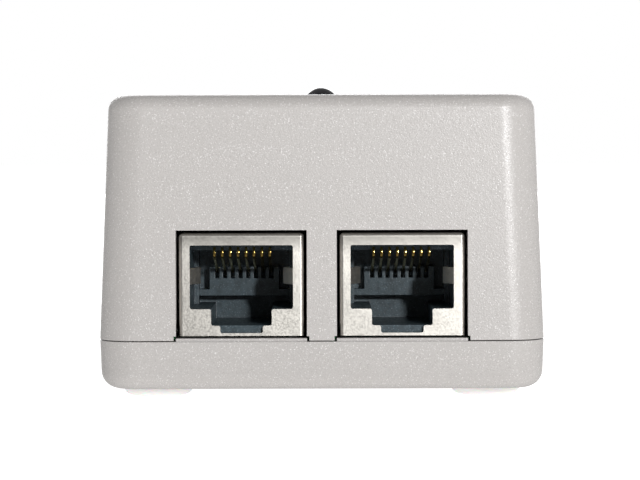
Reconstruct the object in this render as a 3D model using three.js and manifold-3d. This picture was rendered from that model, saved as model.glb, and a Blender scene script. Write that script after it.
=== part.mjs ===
// A single-port PoE injector: a two-part plastic case with two shielded 8P8C sockets at the front, a mains inlet at
// the back, a power indicator on top, and the switch-mode power supply on a circuit board inside.
// Millimetres, +Z up. The sockets face -Y, the mains inlet faces +Y, and the rubber feet stand on z = 0.

import * as THREE from "three";
import { mergeVertices } from "three/addons/utils/BufferGeometryUtils.js";
import Module from "manifold-3d";

const wasm = await Module();
wasm.setup();

// ---------------------------------------------------------------------------------------------------------------
// Driving dimensions
// ---------------------------------------------------------------------------------------------------------------

// Case
const CASE_WIDTH = 57;
const CASE_LENGTH = 105;
const CASE_HEIGHT = 37.5; // without the feet
const BASE_HEIGHT = 6.2; // from the underside to the seam
const WALL = 2.2;
const FLOOR = 2;
const COVER_DRAFT = 2.2; // degrees that the cover's sides lean inwards
const BASE_DRAFT = 2;
const CORNER_RADIUS = 4.8; // upright corners, in plan
const TOP_EDGE_RADIUS = 1.9;
const BOTTOM_EDGE_RADIUS = 2.2;
const INNER_EDGE_RADIUS = 1;
const SEAM_GAP = 0.25; // shadow line between cover and base
const LIP_HEIGHT = 1.8; // the base's lip inside the cover
const LIP_THICKNESS = 1;
const TONGUE_HEIGHT = 0.4; // the base's tongues below each connector
const TONGUE_SETBACK = 0.2;

// Fits
const GAP = 0.3; // between pieces that touch
const CUTOUT_GAP = 0.4; // around a connector in the case

// Feet and screws
const FOOT_DIAMETER = 9;
const FOOT_HEIGHT = 1.6; // below the case
const FOOT_RECESS = 0.6;
const FASTENER_INSET = 12; // from the case's front or back to the middle of a foot and its screw
const POST_DIAMETER = 6;
const BOSS_WALL = 1.5;
const SCREW_DIAMETER = 2.6;
const SCREW_HEAD_DIAMETER = 5;
const SCREW_HEAD_HEIGHT = 1.6;
const SCREW_LENGTH = 10;

// Circuit board
const BOARD_THICKNESS = 1.6;
const BOARD_TOP = 6.6; // above the case's underside
const STANDOFF_DIAMETER = 4;

// 8P8C sockets
const SHIELD_WIDTH = 15.8;
const SHIELD_HEIGHT = 13;
const SHIELD_DEPTH = 21;
const SHIELD_SHEET = 0.35;
const SOCKET_WEB = 4.6; // between the two shields
const SOCKET_RECESS = 0.7; // behind the case's front at the seam
const WINDOW_WIDTH = 13.1;
const WINDOW_TOP = 1.5; // below the shield's top
const WINDOW_HEIGHT = 8.1;
const LATCH_WIDTH = 7.7;
const LATCH_HEIGHT = 2.1;
const KEY_WIDTH = 5.4;
const KEY_HEIGHT = 0.95;
const PLUG_WIDTH = 11.9; // the cavity that takes the plug
const PLUG_DEPTH = 12.2;
const LATCH_DEPTH = 9;
const INSULATOR_DEPTH = 17.4;
const COMB_DEPTH = 2; // fore and aft
const COMB_WIDTH = 9.2;
const COMB_DROP = 2.5; // from the inner roof to the teeth's tips
const COMB_NOTCH = 1.5; // depth of the notches between the teeth
const COMB_SLOT = 0.56; // width of a notch
const LEDGE_HEIGHT = 1.85; // of the step beside the comb, above the cavity's floor
const ROOF_DROP = 0.8; // the inner roof below the window's top
const ROOF_SETBACK = 4.3; // of the inner roof's nose behind the shield's face
const FINGER_HEIGHT = 2.1;
const FINGER_REACH = 1.3;
const FINGER_LENGTH = 2.9;
const FINGER_DROP = 2.9; // from the window's top to the finger's upper edge

// Spring contacts
const CONTACT_COUNT = 8;
const CONTACT_PITCH = 1.016;
const CONTACT_WIDTH = 0.36;
const CONTACT_THICKNESS = 0.35;
const CONTACT_BEND = 0.6; // radius at the middle of the wire
const CONTACT_SLOPE = 14; // degrees
const CONTACT_LENGTH = 9.6;

// Mains inlet, with the pins of an earthed appliance inlet
const INLET_WIDTH = 27.4;
const INLET_HEIGHT = 19.6;
const INLET_DEPTH = 21;
const INLET_CAVITY_WIDTH = 24.2;
const INLET_CAVITY_HEIGHT = 16.5;
const INLET_CAVITY_DEPTH = 16;
const INLET_CHAMFER = 4.5;
const PIN_WIDTH = 2;
const PIN_HEIGHT = 4;
const PIN_SPACING = 14;
const PIN_RISE = 4; // the earth pin above the other two
const PIN_TIP_RECESS = 2.5;

// Indicator
const LED_DIAMETER = 5;
const LED_RIM = 0.4; // step around the lens
const LED_RIM_HEIGHT = 1;
const LED_HEIGHT = 8.6;
const LED_PROUD = 1.7; // above the case's top
const LED_SETBACK = 32; // behind the case's front
const LED_HOLE_GAP = 0.25;
const LEAD_SPACING = 2.54;
const LEAD_WIDTH = 0.5;
const SPACER_WALL = 1.35;

// Label
const LABEL_WIDTH = 29.4;
const LABEL_LENGTH = 39.4;
const LABEL_THICKNESS = 0.25;

// Facets
const CORNER_STEPS = 6;
const EDGE_STEPS = 4;
const ROUND_SIDES = 20;

// ---------------------------------------------------------------------------------------------------------------
// Heights and places that follow
// ---------------------------------------------------------------------------------------------------------------

const FRONT = -CASE_LENGTH / 2;
const BACK = CASE_LENGTH / 2;
const UNDERSIDE = FOOT_HEIGHT;
const SEAM = UNDERSIDE + BASE_HEIGHT;
const COVER_BOTTOM = SEAM + SEAM_GAP;
const CASE_TOP = UNDERSIDE + CASE_HEIGHT;
const CEILING = CASE_TOP - WALL;
const FLOOR_TOP = UNDERSIDE + FLOOR;
const TONGUE_TOP = SEAM + TONGUE_HEIGHT;
const BOARD_FACE = UNDERSIDE + BOARD_TOP;
const BOARD_BACK = BOARD_FACE - BOARD_THICKNESS;
const SEAT = BOARD_FACE + GAP; // underside of everything that stands on the board
const BOSS_TOP = BOARD_FACE - GAP / 2;
const POST_BOTTOM = BOSS_TOP + GAP;
const SOCKET_FACE = FRONT + SOCKET_RECESS;
const SHIELD_TOP = SEAT + SHIELD_HEIGHT;
const WINDOW_CEILING = SHIELD_TOP - WINDOW_TOP;
const WINDOW_SILL = WINDOW_CEILING - WINDOW_HEIGHT;
const LATCH_SILL = WINDOW_SILL - LATCH_HEIGHT;
const INNER_ROOF = WINDOW_CEILING - ROOF_DROP;
const INLET_FACE = BACK - SOCKET_RECESS;
const INLET_TOP = SEAT + INLET_HEIGHT;
const INLET_MIDDLE = SEAT + INLET_HEIGHT / 2;
const FASTENER_Y = CASE_LENGTH / 2 - FASTENER_INSET;
const HEAD_BORE = SCREW_HEAD_DIAMETER / 2 + GAP;
const SHANK_BORE = SCREW_DIAMETER / 2 + GAP;
const HEAD_CEILING = UNDERSIDE + FOOT_RECESS + GAP + SCREW_HEAD_HEIGHT + GAP;
const LED_Y = FRONT + LED_SETBACK;
const LED_TOP = CASE_TOP + LED_PROUD;
const LED_BOTTOM = LED_TOP - LED_HEIGHT;
const SOCKET_PITCH = SHIELD_WIDTH + SOCKET_WEB;
const SOCKET_BACK = SOCKET_FACE + SHIELD_DEPTH;
// The posts stand close beside the sockets.
const FASTENER_X = SOCKET_PITCH / 2 + SHIELD_WIDTH / 2 + CUTOUT_GAP + POST_DIAMETER / 2;
const INLET_FRONT = INLET_FACE - INLET_DEPTH;
const SPACER_BORE = LEAD_SPACING + 2 * LEAD_WIDTH + GAP;
const HEADROOM = CEILING - SEAT;
const SOCKET_XS = { data: -SOCKET_PITCH / 2, power: SOCKET_PITCH / 2 };
const CORNERS = [
  { name: "front_left", x: -FASTENER_X, y: -FASTENER_Y },
  { name: "front_right", x: FASTENER_X, y: -FASTENER_Y },
  { name: "rear_left", x: -FASTENER_X, y: FASTENER_Y },
  { name: "rear_right", x: FASTENER_X, y: FASTENER_Y },
];

// ---------------------------------------------------------------------------------------------------------------
// Materials
// ---------------------------------------------------------------------------------------------------------------

function finish(color, roughness, metalness = 0, extra = {}) {
  return new THREE.MeshStandardMaterial({ color, roughness, metalness, ...extra });
}

const CASE_PLASTIC = finish(0xcdcbc6, 0.55);
const CLEAR_RUBBER = finish(0xc9c7bf, 0.45, 0, { transparent: true, opacity: 0.85 });
const BLACK_PLASTIC = finish(0x0c0d10, 0.25);
const NICKEL = finish(0xd5d0c4, 0.32, 1);
const GOLD = finish(0xd9b25f, 0.25, 1);
const STEEL = finish(0x8d8f92, 0.35, 1);
const SMOKED_LENS = finish(0x17171b, 0.08);
const TINNED_WIRE = finish(0xb9bbbd, 0.3, 1);
const BOARD_GREEN = finish(0x1f5a36, 0.45);
const FERRITE = finish(0x3a3b3d, 0.6);
const YELLOW_TAPE = finish(0xe0bd35, 0.4);
const CAPACITOR_SLEEVE = finish(0x1b2a4c, 0.3);
const FILM_BOX = finish(0xd8b62a, 0.35);
const ENAMELLED_COPPER = finish(0xa4552a, 0.3, 1);
const EPOXY = finish(0x17181a, 0.5);
const ALUMINIUM = finish(0xb3b5b8, 0.35, 1);
const INSULATION_FILM = finish(0x24211d, 0.7);
const LABEL_FILM = finish(0xb9bbbd, 0.4);

// ---------------------------------------------------------------------------------------------------------------
// Solids
// ---------------------------------------------------------------------------------------------------------------

// A geometry as a manifold-3d solid, with its shared vertices merged.
function toSolid(geometry) {
  const bare = new THREE.BufferGeometry();
  const source = geometry.index ? geometry.toNonIndexed() : geometry;
  bare.setAttribute("position", source.getAttribute("position"));
  const merged = mergeVertices(bare, 1e-4);
  return new wasm.Manifold(
    new wasm.Mesh({
      numProp: 3,
      vertProperties: merged.getAttribute("position").array,
      triVerts: new Uint32Array(merged.index.array),
    }),
  );
}

// A manifold-3d solid as a geometry.
function toGeometry(solid) {
  const mesh = solid.getMesh();
  const geometry = new THREE.BufferGeometry();
  geometry.setAttribute("position", new THREE.BufferAttribute(new Float32Array(mesh.vertProperties), 3));
  geometry.setIndex(new THREE.BufferAttribute(new Uint32Array(mesh.triVerts), 1));
  geometry.computeVertexNormals();
  return geometry;
}

function join(...geometries) {
  return toGeometry(geometries.map(toSolid).reduce((whole, next) => whole.add(next)));
}

function cut(body, ...tools) {
  return toGeometry(tools.map(toSolid).reduce((whole, tool) => whole.subtract(tool), toSolid(body)));
}

// A box between two planes along each axis.
function block([x0, x1], [y0, y1], [z0, z1]) {
  const geometry = new THREE.BoxGeometry(x1 - x0, y1 - y0, z1 - z0);
  return geometry.translate((x0 + x1) / 2, (y0 + y1) / 2, (z0 + z1) / 2);
}

// The span of the given width around a middle.
function around(middle, width) {
  return [middle - width / 2, middle + width / 2];
}

function upright(radius, [z0, z1], x, y, sides = ROUND_SIDES) {
  const geometry = new THREE.CylinderGeometry(radius, radius, z1 - z0, sides);
  return geometry.rotateX(Math.PI / 2).translate(x, y, (z0 + z1) / 2);
}

// A turned piece standing on z, from [radius, height] pairs that start and end on the axis.
function turned(profile, x, y, z, sides = ROUND_SIDES) {
  const points = profile.map(([radius, height]) => new THREE.Vector2(radius, height));
  return new THREE.LatheGeometry(points, sides).rotateX(Math.PI / 2).translate(x, y, z);
}

// Profile points along a quarter circle, from one [radius, height] angle to the next, in degrees.
function arcPoints(centreRadius, centreHeight, radius, from, to, steps = EDGE_STEPS) {
  return Array.from({ length: steps + 1 }, (_, i) => {
    const angle = THREE.MathUtils.degToRad(from + ((to - from) * i) / steps);
    return [centreRadius + radius * Math.cos(angle), centreHeight + radius * Math.sin(angle)];
  });
}

function roundedOutline(width, length, radius) {
  const x = width / 2 - radius;
  const y = length / 2 - radius;
  const shape = new THREE.Shape();
  shape.absarc(x, y, radius, 0, Math.PI / 2);
  shape.absarc(-x, y, radius, Math.PI / 2, Math.PI);
  shape.absarc(-x, -y, radius, Math.PI, 1.5 * Math.PI);
  shape.absarc(x, -y, radius, 1.5 * Math.PI, 2 * Math.PI);
  return shape;
}

function outlined(shape, [z0, z1]) {
  const geometry = new THREE.ExtrudeGeometry(shape, {
    depth: z1 - z0,
    bevelEnabled: false,
    curveSegments: CORNER_STEPS,
  });
  return geometry.translate(0, 0, z0);
}

function polygon(points) {
  return new THREE.Shape(points.map(([x, y]) => new THREE.Vector2(x, y)));
}

// A block that stands on z = 0 and leans inwards by its draft to a top edge with a round of the given radius.
function draftedBlock({ width, length, height, cornerRadius, edgeRadius, draft }) {
  const geometry = new THREE.ExtrudeGeometry(roundedOutline(width, length, cornerRadius), {
    depth: height - edgeRadius,
    bevelThickness: edgeRadius,
    bevelSize: edgeRadius,
    bevelOffset: -edgeRadius,
    bevelSegments: EDGE_STEPS,
    curveSegments: CORNER_STEPS,
  });
  const lean = Math.tan(THREE.MathUtils.degToRad(draft));
  const position = geometry.getAttribute("position");
  for (let i = 0; i < position.count; i++) {
    const inwards = lean * position.getZ(i);
    position.setX(i, position.getX(i) * (1 - (2 * inwards) / width));
    position.setY(i, position.getY(i) * (1 - (2 * inwards) / length));
  }
  const below = block(around(0, 2 * width), around(0, 2 * length), [-2 * height, 0]);
  return cut(geometry, below);
}

function piece(name, geometry, material) {
  const mesh = new THREE.Mesh(geometry, material.clone());
  mesh.name = name;
  return mesh;
}

// ---------------------------------------------------------------------------------------------------------------
// Case
// ---------------------------------------------------------------------------------------------------------------

// What each connector needs in the case's wall: its middle, width, top, and which wall it is in.
const CONNECTORS = [
  { x: SOCKET_XS.data, width: SHIELD_WIDTH, top: SHIELD_TOP, wall: FRONT },
  { x: SOCKET_XS.power, width: SHIELD_WIDTH, top: SHIELD_TOP, wall: FRONT },
  { x: 0, width: INLET_WIDTH, top: INLET_TOP, wall: BACK },
];

// The span in Y of a wall and a little on both sides of it.
function acrossWall(wall, inside = 2 * WALL, outside = 1) {
  return wall < 0 ? [wall - outside, wall + inside] : [wall - inside, wall + outside];
}

function makeUpperCover() {
  const height = CASE_TOP - COVER_BOTTOM;
  const shell = draftedBlock({
    width: CASE_WIDTH,
    length: CASE_LENGTH,
    height,
    cornerRadius: CORNER_RADIUS,
    edgeRadius: TOP_EDGE_RADIUS,
    draft: COVER_DRAFT,
  }).translate(0, 0, COVER_BOTTOM);
  const hollow = draftedBlock({
    width: CASE_WIDTH - 2 * WALL,
    length: CASE_LENGTH - 2 * WALL,
    height: height - WALL,
    cornerRadius: CORNER_RADIUS - WALL,
    edgeRadius: INNER_EDGE_RADIUS,
    draft: COVER_DRAFT,
  }).translate(0, 0, COVER_BOTTOM);
  const rebateInset = WALL - LIP_THICKNESS - GAP;
  const rebate = outlined(
    roundedOutline(CASE_WIDTH - 2 * rebateInset, CASE_LENGTH - 2 * rebateInset, CORNER_RADIUS - rebateInset),
    [COVER_BOTTOM - 1, SEAM + LIP_HEIGHT + GAP],
  );
  const cutouts = CONNECTORS.flatMap(({ x, width, top, wall }) => {
    const slotWidth = width + 2 * CUTOUT_GAP;
    return [
      block(around(x, slotWidth), acrossWall(wall), [COVER_BOTTOM - 1, top + CUTOUT_GAP]),
      block(around(x, slotWidth + 2 * GAP), acrossWall(wall), [COVER_BOTTOM - 1, TONGUE_TOP + GAP]),
    ];
  });
  const ledHole = upright(LED_DIAMETER / 2 + LED_HOLE_GAP, [CEILING - 1, CASE_TOP + 1], 0, LED_Y);
  const posts = CORNERS.map(({ x, y }) => upright(POST_DIAMETER / 2, [POST_BOTTOM, CEILING + WALL / 2], x, y));
  const pilots = CORNERS.map(({ x, y }) =>
    upright(SHANK_BORE, [POST_BOTTOM - 1, HEAD_CEILING + SCREW_LENGTH + GAP], x, y, ROUND_SIDES / 2),
  );
  const walls = cut(shell, hollow, rebate, ...cutouts, ledHole);
  return piece("upper_cover", cut(join(walls, ...posts), ...pilots), CASE_PLASTIC);
}

function makeBaseTray() {
  const shell = draftedBlock({
    width: CASE_WIDTH,
    length: CASE_LENGTH,
    height: BASE_HEIGHT,
    cornerRadius: CORNER_RADIUS,
    edgeRadius: BOTTOM_EDGE_RADIUS,
    draft: BASE_DRAFT,
  })
    .rotateX(Math.PI)
    .translate(0, 0, SEAM);
  const lipInset = WALL - LIP_THICKNESS;
  const lip = outlined(
    roundedOutline(CASE_WIDTH - 2 * lipInset, CASE_LENGTH - 2 * lipInset, CORNER_RADIUS - lipInset),
    [SEAM - 1, SEAM + LIP_HEIGHT],
  );
  const hollow = outlined(
    roundedOutline(CASE_WIDTH - 2 * WALL, CASE_LENGTH - 2 * WALL, CORNER_RADIUS - WALL),
    [FLOOR_TOP, SEAM + LIP_HEIGHT + 1],
  );
  // The lip stops short of each connector, and a low tongue closes the cover's slot there.
  const lipBreaks = CONNECTORS.map(({ x, width, wall }) =>
    block(around(x, width + 4 * CUTOUT_GAP + 2 * GAP), acrossWall(wall), [SEAM, SEAM + LIP_HEIGHT + 1]),
  );
  const webBreak = block(around(0, SOCKET_PITCH), acrossWall(FRONT), [SEAM, SEAM + LIP_HEIGHT + 1]);
  const tongues = CONNECTORS.map(({ x, width, wall }) => {
    const depth = wall < 0 ? [wall + TONGUE_SETBACK, wall + WALL] : [wall - WALL, wall - TONGUE_SETBACK];
    return block(around(x, width + 2 * CUTOUT_GAP), depth, [SEAM - 1, TONGUE_TOP]);
  });
  const bosses = CORNERS.map(({ x, y }) => upright(HEAD_BORE + BOSS_WALL, [FLOOR_TOP - 1, BOSS_TOP], x, y));
  const standoffs = [-1, 1].flatMap((side) =>
    [-1, 1].map((end) =>
      upright(STANDOFF_DIAMETER / 2, [FLOOR_TOP - 1, BOARD_BACK - GAP], side * (FASTENER_X - 1), end * (FASTENER_Y / 2)),
    ),
  );
  const footRecesses = CORNERS.map(({ x, y }) =>
    upright(FOOT_DIAMETER / 2 + GAP, [UNDERSIDE - 1, UNDERSIDE + FOOT_RECESS], x, y),
  );
  const headBores = CORNERS.map(({ x, y }) => upright(HEAD_BORE, [UNDERSIDE - 1, HEAD_CEILING], x, y));
  const shankBores = CORNERS.map(({ x, y }) => upright(SHANK_BORE, [UNDERSIDE - 1, BOSS_TOP + 1], x, y, ROUND_SIDES / 2));
  const labelRecess = block(around(0, LABEL_WIDTH + 2 * GAP), around(0, LABEL_LENGTH + 2 * GAP), [
    UNDERSIDE - 1,
    UNDERSIDE + LABEL_THICKNESS + GAP,
  ]);
  const tray = cut(join(shell, lip), hollow, ...lipBreaks, webBreak);
  const fitted = join(tray, ...tongues, ...bosses, ...standoffs);
  return piece("base_tray", cut(fitted, ...footRecesses, ...headBores, ...shankBores, labelRecess), CASE_PLASTIC);
}

// Four rubber feet, each in a shallow recess over a case screw.
function makeFeetAndScrews() {
  const group = new THREE.Group();
  const footRound = 1.1;
  const footTop = FOOT_HEIGHT + FOOT_RECESS - GAP;
  const footProfile = [
    [0, 0],
    ...arcPoints(FOOT_DIAMETER / 2 - footRound, footRound, footRound, -90, 0),
    [FOOT_DIAMETER / 2, footTop],
    [0, footTop],
  ];
  const screwProfile = [
    [0, 0],
    [SCREW_HEAD_DIAMETER / 2, 0],
    [SCREW_HEAD_DIAMETER / 2, SCREW_HEAD_HEIGHT],
    [SCREW_DIAMETER / 2, SCREW_HEAD_HEIGHT],
    [SCREW_DIAMETER / 2, SCREW_HEAD_HEIGHT + SCREW_LENGTH - SCREW_DIAMETER],
    [0, SCREW_HEAD_HEIGHT + SCREW_LENGTH - GAP],
  ];
  const screwBottom = HEAD_CEILING - GAP - SCREW_HEAD_HEIGHT;
  for (const { name, x, y } of CORNERS) {
    group.add(piece("foot_" + name, turned(footProfile, x, y, 0), CLEAR_RUBBER));
    group.add(piece("case_screw_" + name, turned(screwProfile, x, y, screwBottom, ROUND_SIDES / 2), STEEL));
  }
  return group;
}

function makeRatingLabel() {
  const bottom = UNDERSIDE;
  return piece(
    "rating_label",
    block(around(0, LABEL_WIDTH), around(0, LABEL_LENGTH), [bottom, bottom + LABEL_THICKNESS]),
    LABEL_FILM,
  );
}

// ---------------------------------------------------------------------------------------------------------------
// Sockets
// ---------------------------------------------------------------------------------------------------------------

// The folded sheet-metal shield: a box open below, with the plug's window and two spring fingers at its sides.
function makeShieldGeometry(x) {
  const folded = block(around(x, SHIELD_WIDTH), [SOCKET_FACE, SOCKET_BACK], [SEAT, SHIELD_TOP]);
  const inside = block(
    around(x, SHIELD_WIDTH - 2 * SHIELD_SHEET),
    [SOCKET_FACE + SHIELD_SHEET, SOCKET_BACK - SHIELD_SHEET],
    [SEAT - 1, SHIELD_TOP - SHIELD_SHEET],
  );
  const plate = [SOCKET_FACE - 1, SOCKET_FACE + 2 * SHIELD_SHEET];
  const window = [
    block(around(x, WINDOW_WIDTH), plate, [WINDOW_SILL, WINDOW_CEILING]),
    block(around(x, LATCH_WIDTH), plate, [LATCH_SILL, WINDOW_CEILING]),
    block(around(x, KEY_WIDTH), plate, [LATCH_SILL - KEY_HEIGHT, WINDOW_CEILING]),
  ];
  const top = WINDOW_CEILING - FINGER_DROP;
  const fingers = [-1, 1].map((side) => {
    const root = WINDOW_WIDTH / 2;
    const tip = root - FINGER_REACH;
    const outline = [
      [side * root, 0],
      [side * (root + SHIELD_SHEET), 0],
      [side * (tip + SHIELD_SHEET), FINGER_LENGTH / 2],
      [side * (root - FINGER_REACH / 3), FINGER_LENGTH],
      [side * (root - FINGER_REACH / 3 - SHIELD_SHEET), FINGER_LENGTH],
      [side * tip, FINGER_LENGTH / 2],
    ];
    const ordered = side > 0 ? outline : outline.reverse();
    return outlined(polygon(ordered), [top - FINGER_HEIGHT, top]).translate(x, SOCKET_FACE, 0);
  });
  return join(cut(folded, inside, ...window), ...fingers);
}

// The moulded body inside the shield: the plug's cavity, the latch's channel below it, and at the back of the
// cavity a comb whose notches guide the free ends of the contacts.
function makeInsulatorGeometry(x) {
  const front = SOCKET_FACE + SHIELD_SHEET + GAP;
  const width = SHIELD_WIDTH - 2 * (SHIELD_SHEET + GAP);
  const body = block(around(x, width), [front, front + INSULATOR_DEPTH], [SEAT, SHIELD_TOP - SHIELD_SHEET - GAP]);
  const ahead = SOCKET_FACE - 1;
  const combFront = SOCKET_FACE + PLUG_DEPTH;
  const combTop = INNER_ROOF - COMB_DROP;
  const behind = [combFront - 1, combFront + COMB_DEPTH];
  const ledge = WINDOW_SILL + LEDGE_HEIGHT;
  const mouth = block(around(x, WINDOW_WIDTH), [ahead, SOCKET_FACE + ROOF_SETBACK], [WINDOW_SILL, WINDOW_CEILING]);
  const cavity = block(around(x, PLUG_WIDTH), [ahead, combFront], [WINDOW_SILL, INNER_ROOF]);
  const latch = block(around(x, LATCH_WIDTH), [ahead, SOCKET_FACE + LATCH_DEPTH], [LATCH_SILL, WINDOW_SILL + 1]);
  const overComb = block(around(x, PLUG_WIDTH), behind, [combTop, INNER_ROOF]);
  const sideWidth = (PLUG_WIDTH - COMB_WIDTH) / 2;
  const besideComb = [-1, 1].map((side) =>
    block(around(x + (side * (COMB_WIDTH + sideWidth)) / 2, sideWidth), behind, [ledge, INNER_ROOF]),
  );
  const notches = contactXs(x).map((at) => block(around(at, COMB_SLOT), behind, [combTop - COMB_NOTCH, INNER_ROOF]));
  return cut(body, mouth, cavity, latch, overComb, ...besideComb, ...notches);
}

function contactXs(x) {
  return Array.from({ length: CONTACT_COUNT }, (_, i) => x + (i - (CONTACT_COUNT - 1) / 2) * CONTACT_PITCH);
}

// One spring wire: it leaves the inner roof's nose, turns back in a tight bend and slopes down into the comb.
// The outline is in a plane of depth and height, with the bend's centre at its origin.
function makeContactGeometry() {
  const slope = THREE.MathUtils.degToRad(CONTACT_SLOPE);
  const end = 1.5 * Math.PI - slope;
  const outer = CONTACT_BEND + CONTACT_THICKNESS / 2;
  const inner = CONTACT_BEND - CONTACT_THICKNESS / 2;
  const along = [CONTACT_LENGTH * Math.cos(slope), -CONTACT_LENGTH * Math.sin(slope)];
  const shape = new THREE.Shape();
  shape.absarc(0, 0, outer, Math.PI / 2, end);
  shape.lineTo(outer * Math.cos(end) + along[0], outer * Math.sin(end) + along[1]);
  shape.lineTo(inner * Math.cos(end) + along[0], inner * Math.sin(end) + along[1]);
  shape.absarc(0, 0, inner, end, Math.PI / 2, true);
  const geometry = new THREE.ExtrudeGeometry(shape, {
    depth: CONTACT_WIDTH,
    bevelEnabled: false,
    curveSegments: CORNER_STEPS,
  });
  // The outline's first axis becomes +Y and its second +Z, so the width runs along X.
  geometry.applyMatrix4(
    new THREE.Matrix4().makeBasis(
      new THREE.Vector3(0, 1, 0),
      new THREE.Vector3(0, 0, 1),
      new THREE.Vector3(1, 0, 0),
    ),
  );
  return geometry.translate(-CONTACT_WIDTH / 2, 0, 0);
}

function makeSocket(name, x) {
  const group = new THREE.Group();
  group.add(piece(name + "_jack_shield", makeShieldGeometry(x), NICKEL));
  group.add(piece(name + "_jack_insulator", makeInsulatorGeometry(x), BLACK_PLASTIC));
  const contact = makeContactGeometry();
  const bendHeight = INNER_ROOF - GAP;
  contactXs(x).forEach((at, i) => {
    const wire = piece(name + "_contact_" + (i + 1), contact, GOLD);
    wire.position.set(at, SOCKET_FACE + ROOF_SETBACK - GAP, bendHeight);
    group.add(wire);
  });
  return group;
}

// ---------------------------------------------------------------------------------------------------------------
// Mains inlet
// ---------------------------------------------------------------------------------------------------------------

function makeMainsInlet() {
  const group = new THREE.Group();
  const body = block(around(0, INLET_WIDTH), [INLET_FRONT, INLET_FACE], [SEAT, INLET_TOP]);
  const halfWidth = INLET_CAVITY_WIDTH / 2;
  const halfHeight = INLET_CAVITY_HEIGHT / 2;
  const outline = polygon([
    [-halfWidth, -halfHeight],
    [halfWidth, -halfHeight],
    [halfWidth, halfHeight - INLET_CHAMFER],
    [halfWidth - INLET_CHAMFER, halfHeight],
    [-halfWidth + INLET_CHAMFER, halfHeight],
    [-halfWidth, halfHeight - INLET_CHAMFER],
  ]);
  const cavity = outlined(outline, [0, INLET_CAVITY_DEPTH + 1])
    .rotateX(Math.PI / 2)
    .translate(0, INLET_FACE + 1, INLET_MIDDLE);
  const pins = [
    { name: "line_pin", x: -PIN_SPACING / 2, z: INLET_MIDDLE - PIN_RISE / 2 },
    { name: "neutral_pin", x: PIN_SPACING / 2, z: INLET_MIDDLE - PIN_RISE / 2 },
    { name: "earth_pin", x: 0, z: INLET_MIDDLE + PIN_RISE / 2 },
  ];
  const slots = pins.map(({ x, z }) =>
    block(around(x, PIN_WIDTH + 2 * GAP), [INLET_FRONT - 1, INLET_FACE - 1], around(z, PIN_HEIGHT + 2 * GAP)),
  );
  group.add(piece("mains_inlet_body", cut(body, cavity, ...slots), BLACK_PLASTIC));
  const tip = INLET_FACE - PIN_TIP_RECESS;
  const taper = PIN_WIDTH / 3;
  for (const { name, x, z } of pins) {
    const blade = polygon([
      [-PIN_WIDTH / 2, INLET_FRONT],
      [PIN_WIDTH / 2, INLET_FRONT],
      [PIN_WIDTH / 2, tip - taper],
      [PIN_WIDTH / 2 - taper, tip],
      [-PIN_WIDTH / 2 + taper, tip],
      [-PIN_WIDTH / 2, tip - taper],
    ]);
    group.add(piece(name, outlined(blade, around(z, PIN_HEIGHT)).translate(x, 0, 0), NICKEL));
  }
  return group;
}

// ---------------------------------------------------------------------------------------------------------------
// Indicator
// ---------------------------------------------------------------------------------------------------------------

function makeIndicator() {
  const group = new THREE.Group();
  const radius = LED_DIAMETER / 2;
  const lensProfile = [
    [0, 0],
    [radius + LED_RIM, 0],
    [radius + LED_RIM, LED_RIM_HEIGHT],
    [radius, LED_RIM_HEIGHT],
    ...arcPoints(0, LED_HEIGHT - radius, radius, 0, 90, 6).slice(0, -1),
    [0, LED_HEIGHT],
  ];
  group.add(piece("led_lens", turned(lensProfile, 0, LED_Y, LED_BOTTOM, 24), SMOKED_LENS));
  const stem = [SEAT, LED_BOTTOM - GAP];
  const spacer = upright(SPACER_BORE / 2 + SPACER_WALL, stem, 0, LED_Y);
  const bore = upright(SPACER_BORE / 2, [stem[0] - 1, stem[1] + 1], 0, LED_Y);
  group.add(piece("led_spacer", cut(spacer, bore), BLACK_PLASTIC));
  const leads = { led_anode: LEAD_SPACING / 2, led_cathode: -LEAD_SPACING / 2 };
  for (const [name, x] of Object.entries(leads)) {
    const lead = block(around(x, LEAD_WIDTH), around(LED_Y, LEAD_WIDTH), stem);
    group.add(piece(name, lead, TINNED_WIRE));
  }
  return group;
}

// ---------------------------------------------------------------------------------------------------------------
// Circuit board and what stands on it
// ---------------------------------------------------------------------------------------------------------------

const BOARD_WIDTH = CASE_WIDTH - 2 * WALL - 2 * GAP;
const BOARD_LENGTH = CASE_LENGTH - 2 * WALL - 2 * GAP;

function makeMainBoard() {
  const panel = outlined(roundedOutline(BOARD_WIDTH, BOARD_LENGTH, CORNER_RADIUS - WALL), [BOARD_BACK, BOARD_FACE]);
  const reach = HEAD_BORE + BOSS_WALL + GAP;
  const notches = CORNERS.map(({ x, y }) => {
    const side = Math.sign(x);
    const inner = side * (FASTENER_X - reach);
    const outer = side * BOARD_WIDTH;
    const spanX = [Math.min(inner, outer), Math.max(inner, outer)];
    return block(spanX, around(y, 2 * reach), [BOARD_BACK - 1, BOARD_FACE + 1]);
  });
  return piece("main_board", cut(panel, ...notches), BOARD_GREEN);
}

function makeInsulationSheet() {
  const bottom = FLOOR_TOP + GAP;
  const width = 2 * (FASTENER_X - HEAD_BORE - BOSS_WALL - 2 * GAP);
  return piece(
    "insulation_sheet",
    block(around(0, width), [FRONT / 2, BACK - WALL - 2], [bottom, bottom + 0.3]),
    INSULATION_FILM,
  );
}

// An electrolytic capacitor with rounded shoulders and the crimp above its seal.
function makeCapacitor(name, diameter, height, x, y) {
  const radius = diameter / 2;
  const shoulder = 0.8;
  const crimp = height / 8;
  const profile = [
    [0, 0],
    [radius - shoulder / 2, 0],
    [radius, shoulder / 2],
    [radius, crimp],
    [radius - shoulder, crimp + shoulder],
    [radius, crimp + 2 * shoulder],
    ...arcPoints(radius - shoulder, height - shoulder, shoulder, 0, 90, 3),
    [0, height],
  ];
  return piece(name, turned(profile, x, y, SEAT), CAPACITOR_SLEEVE);
}

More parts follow.
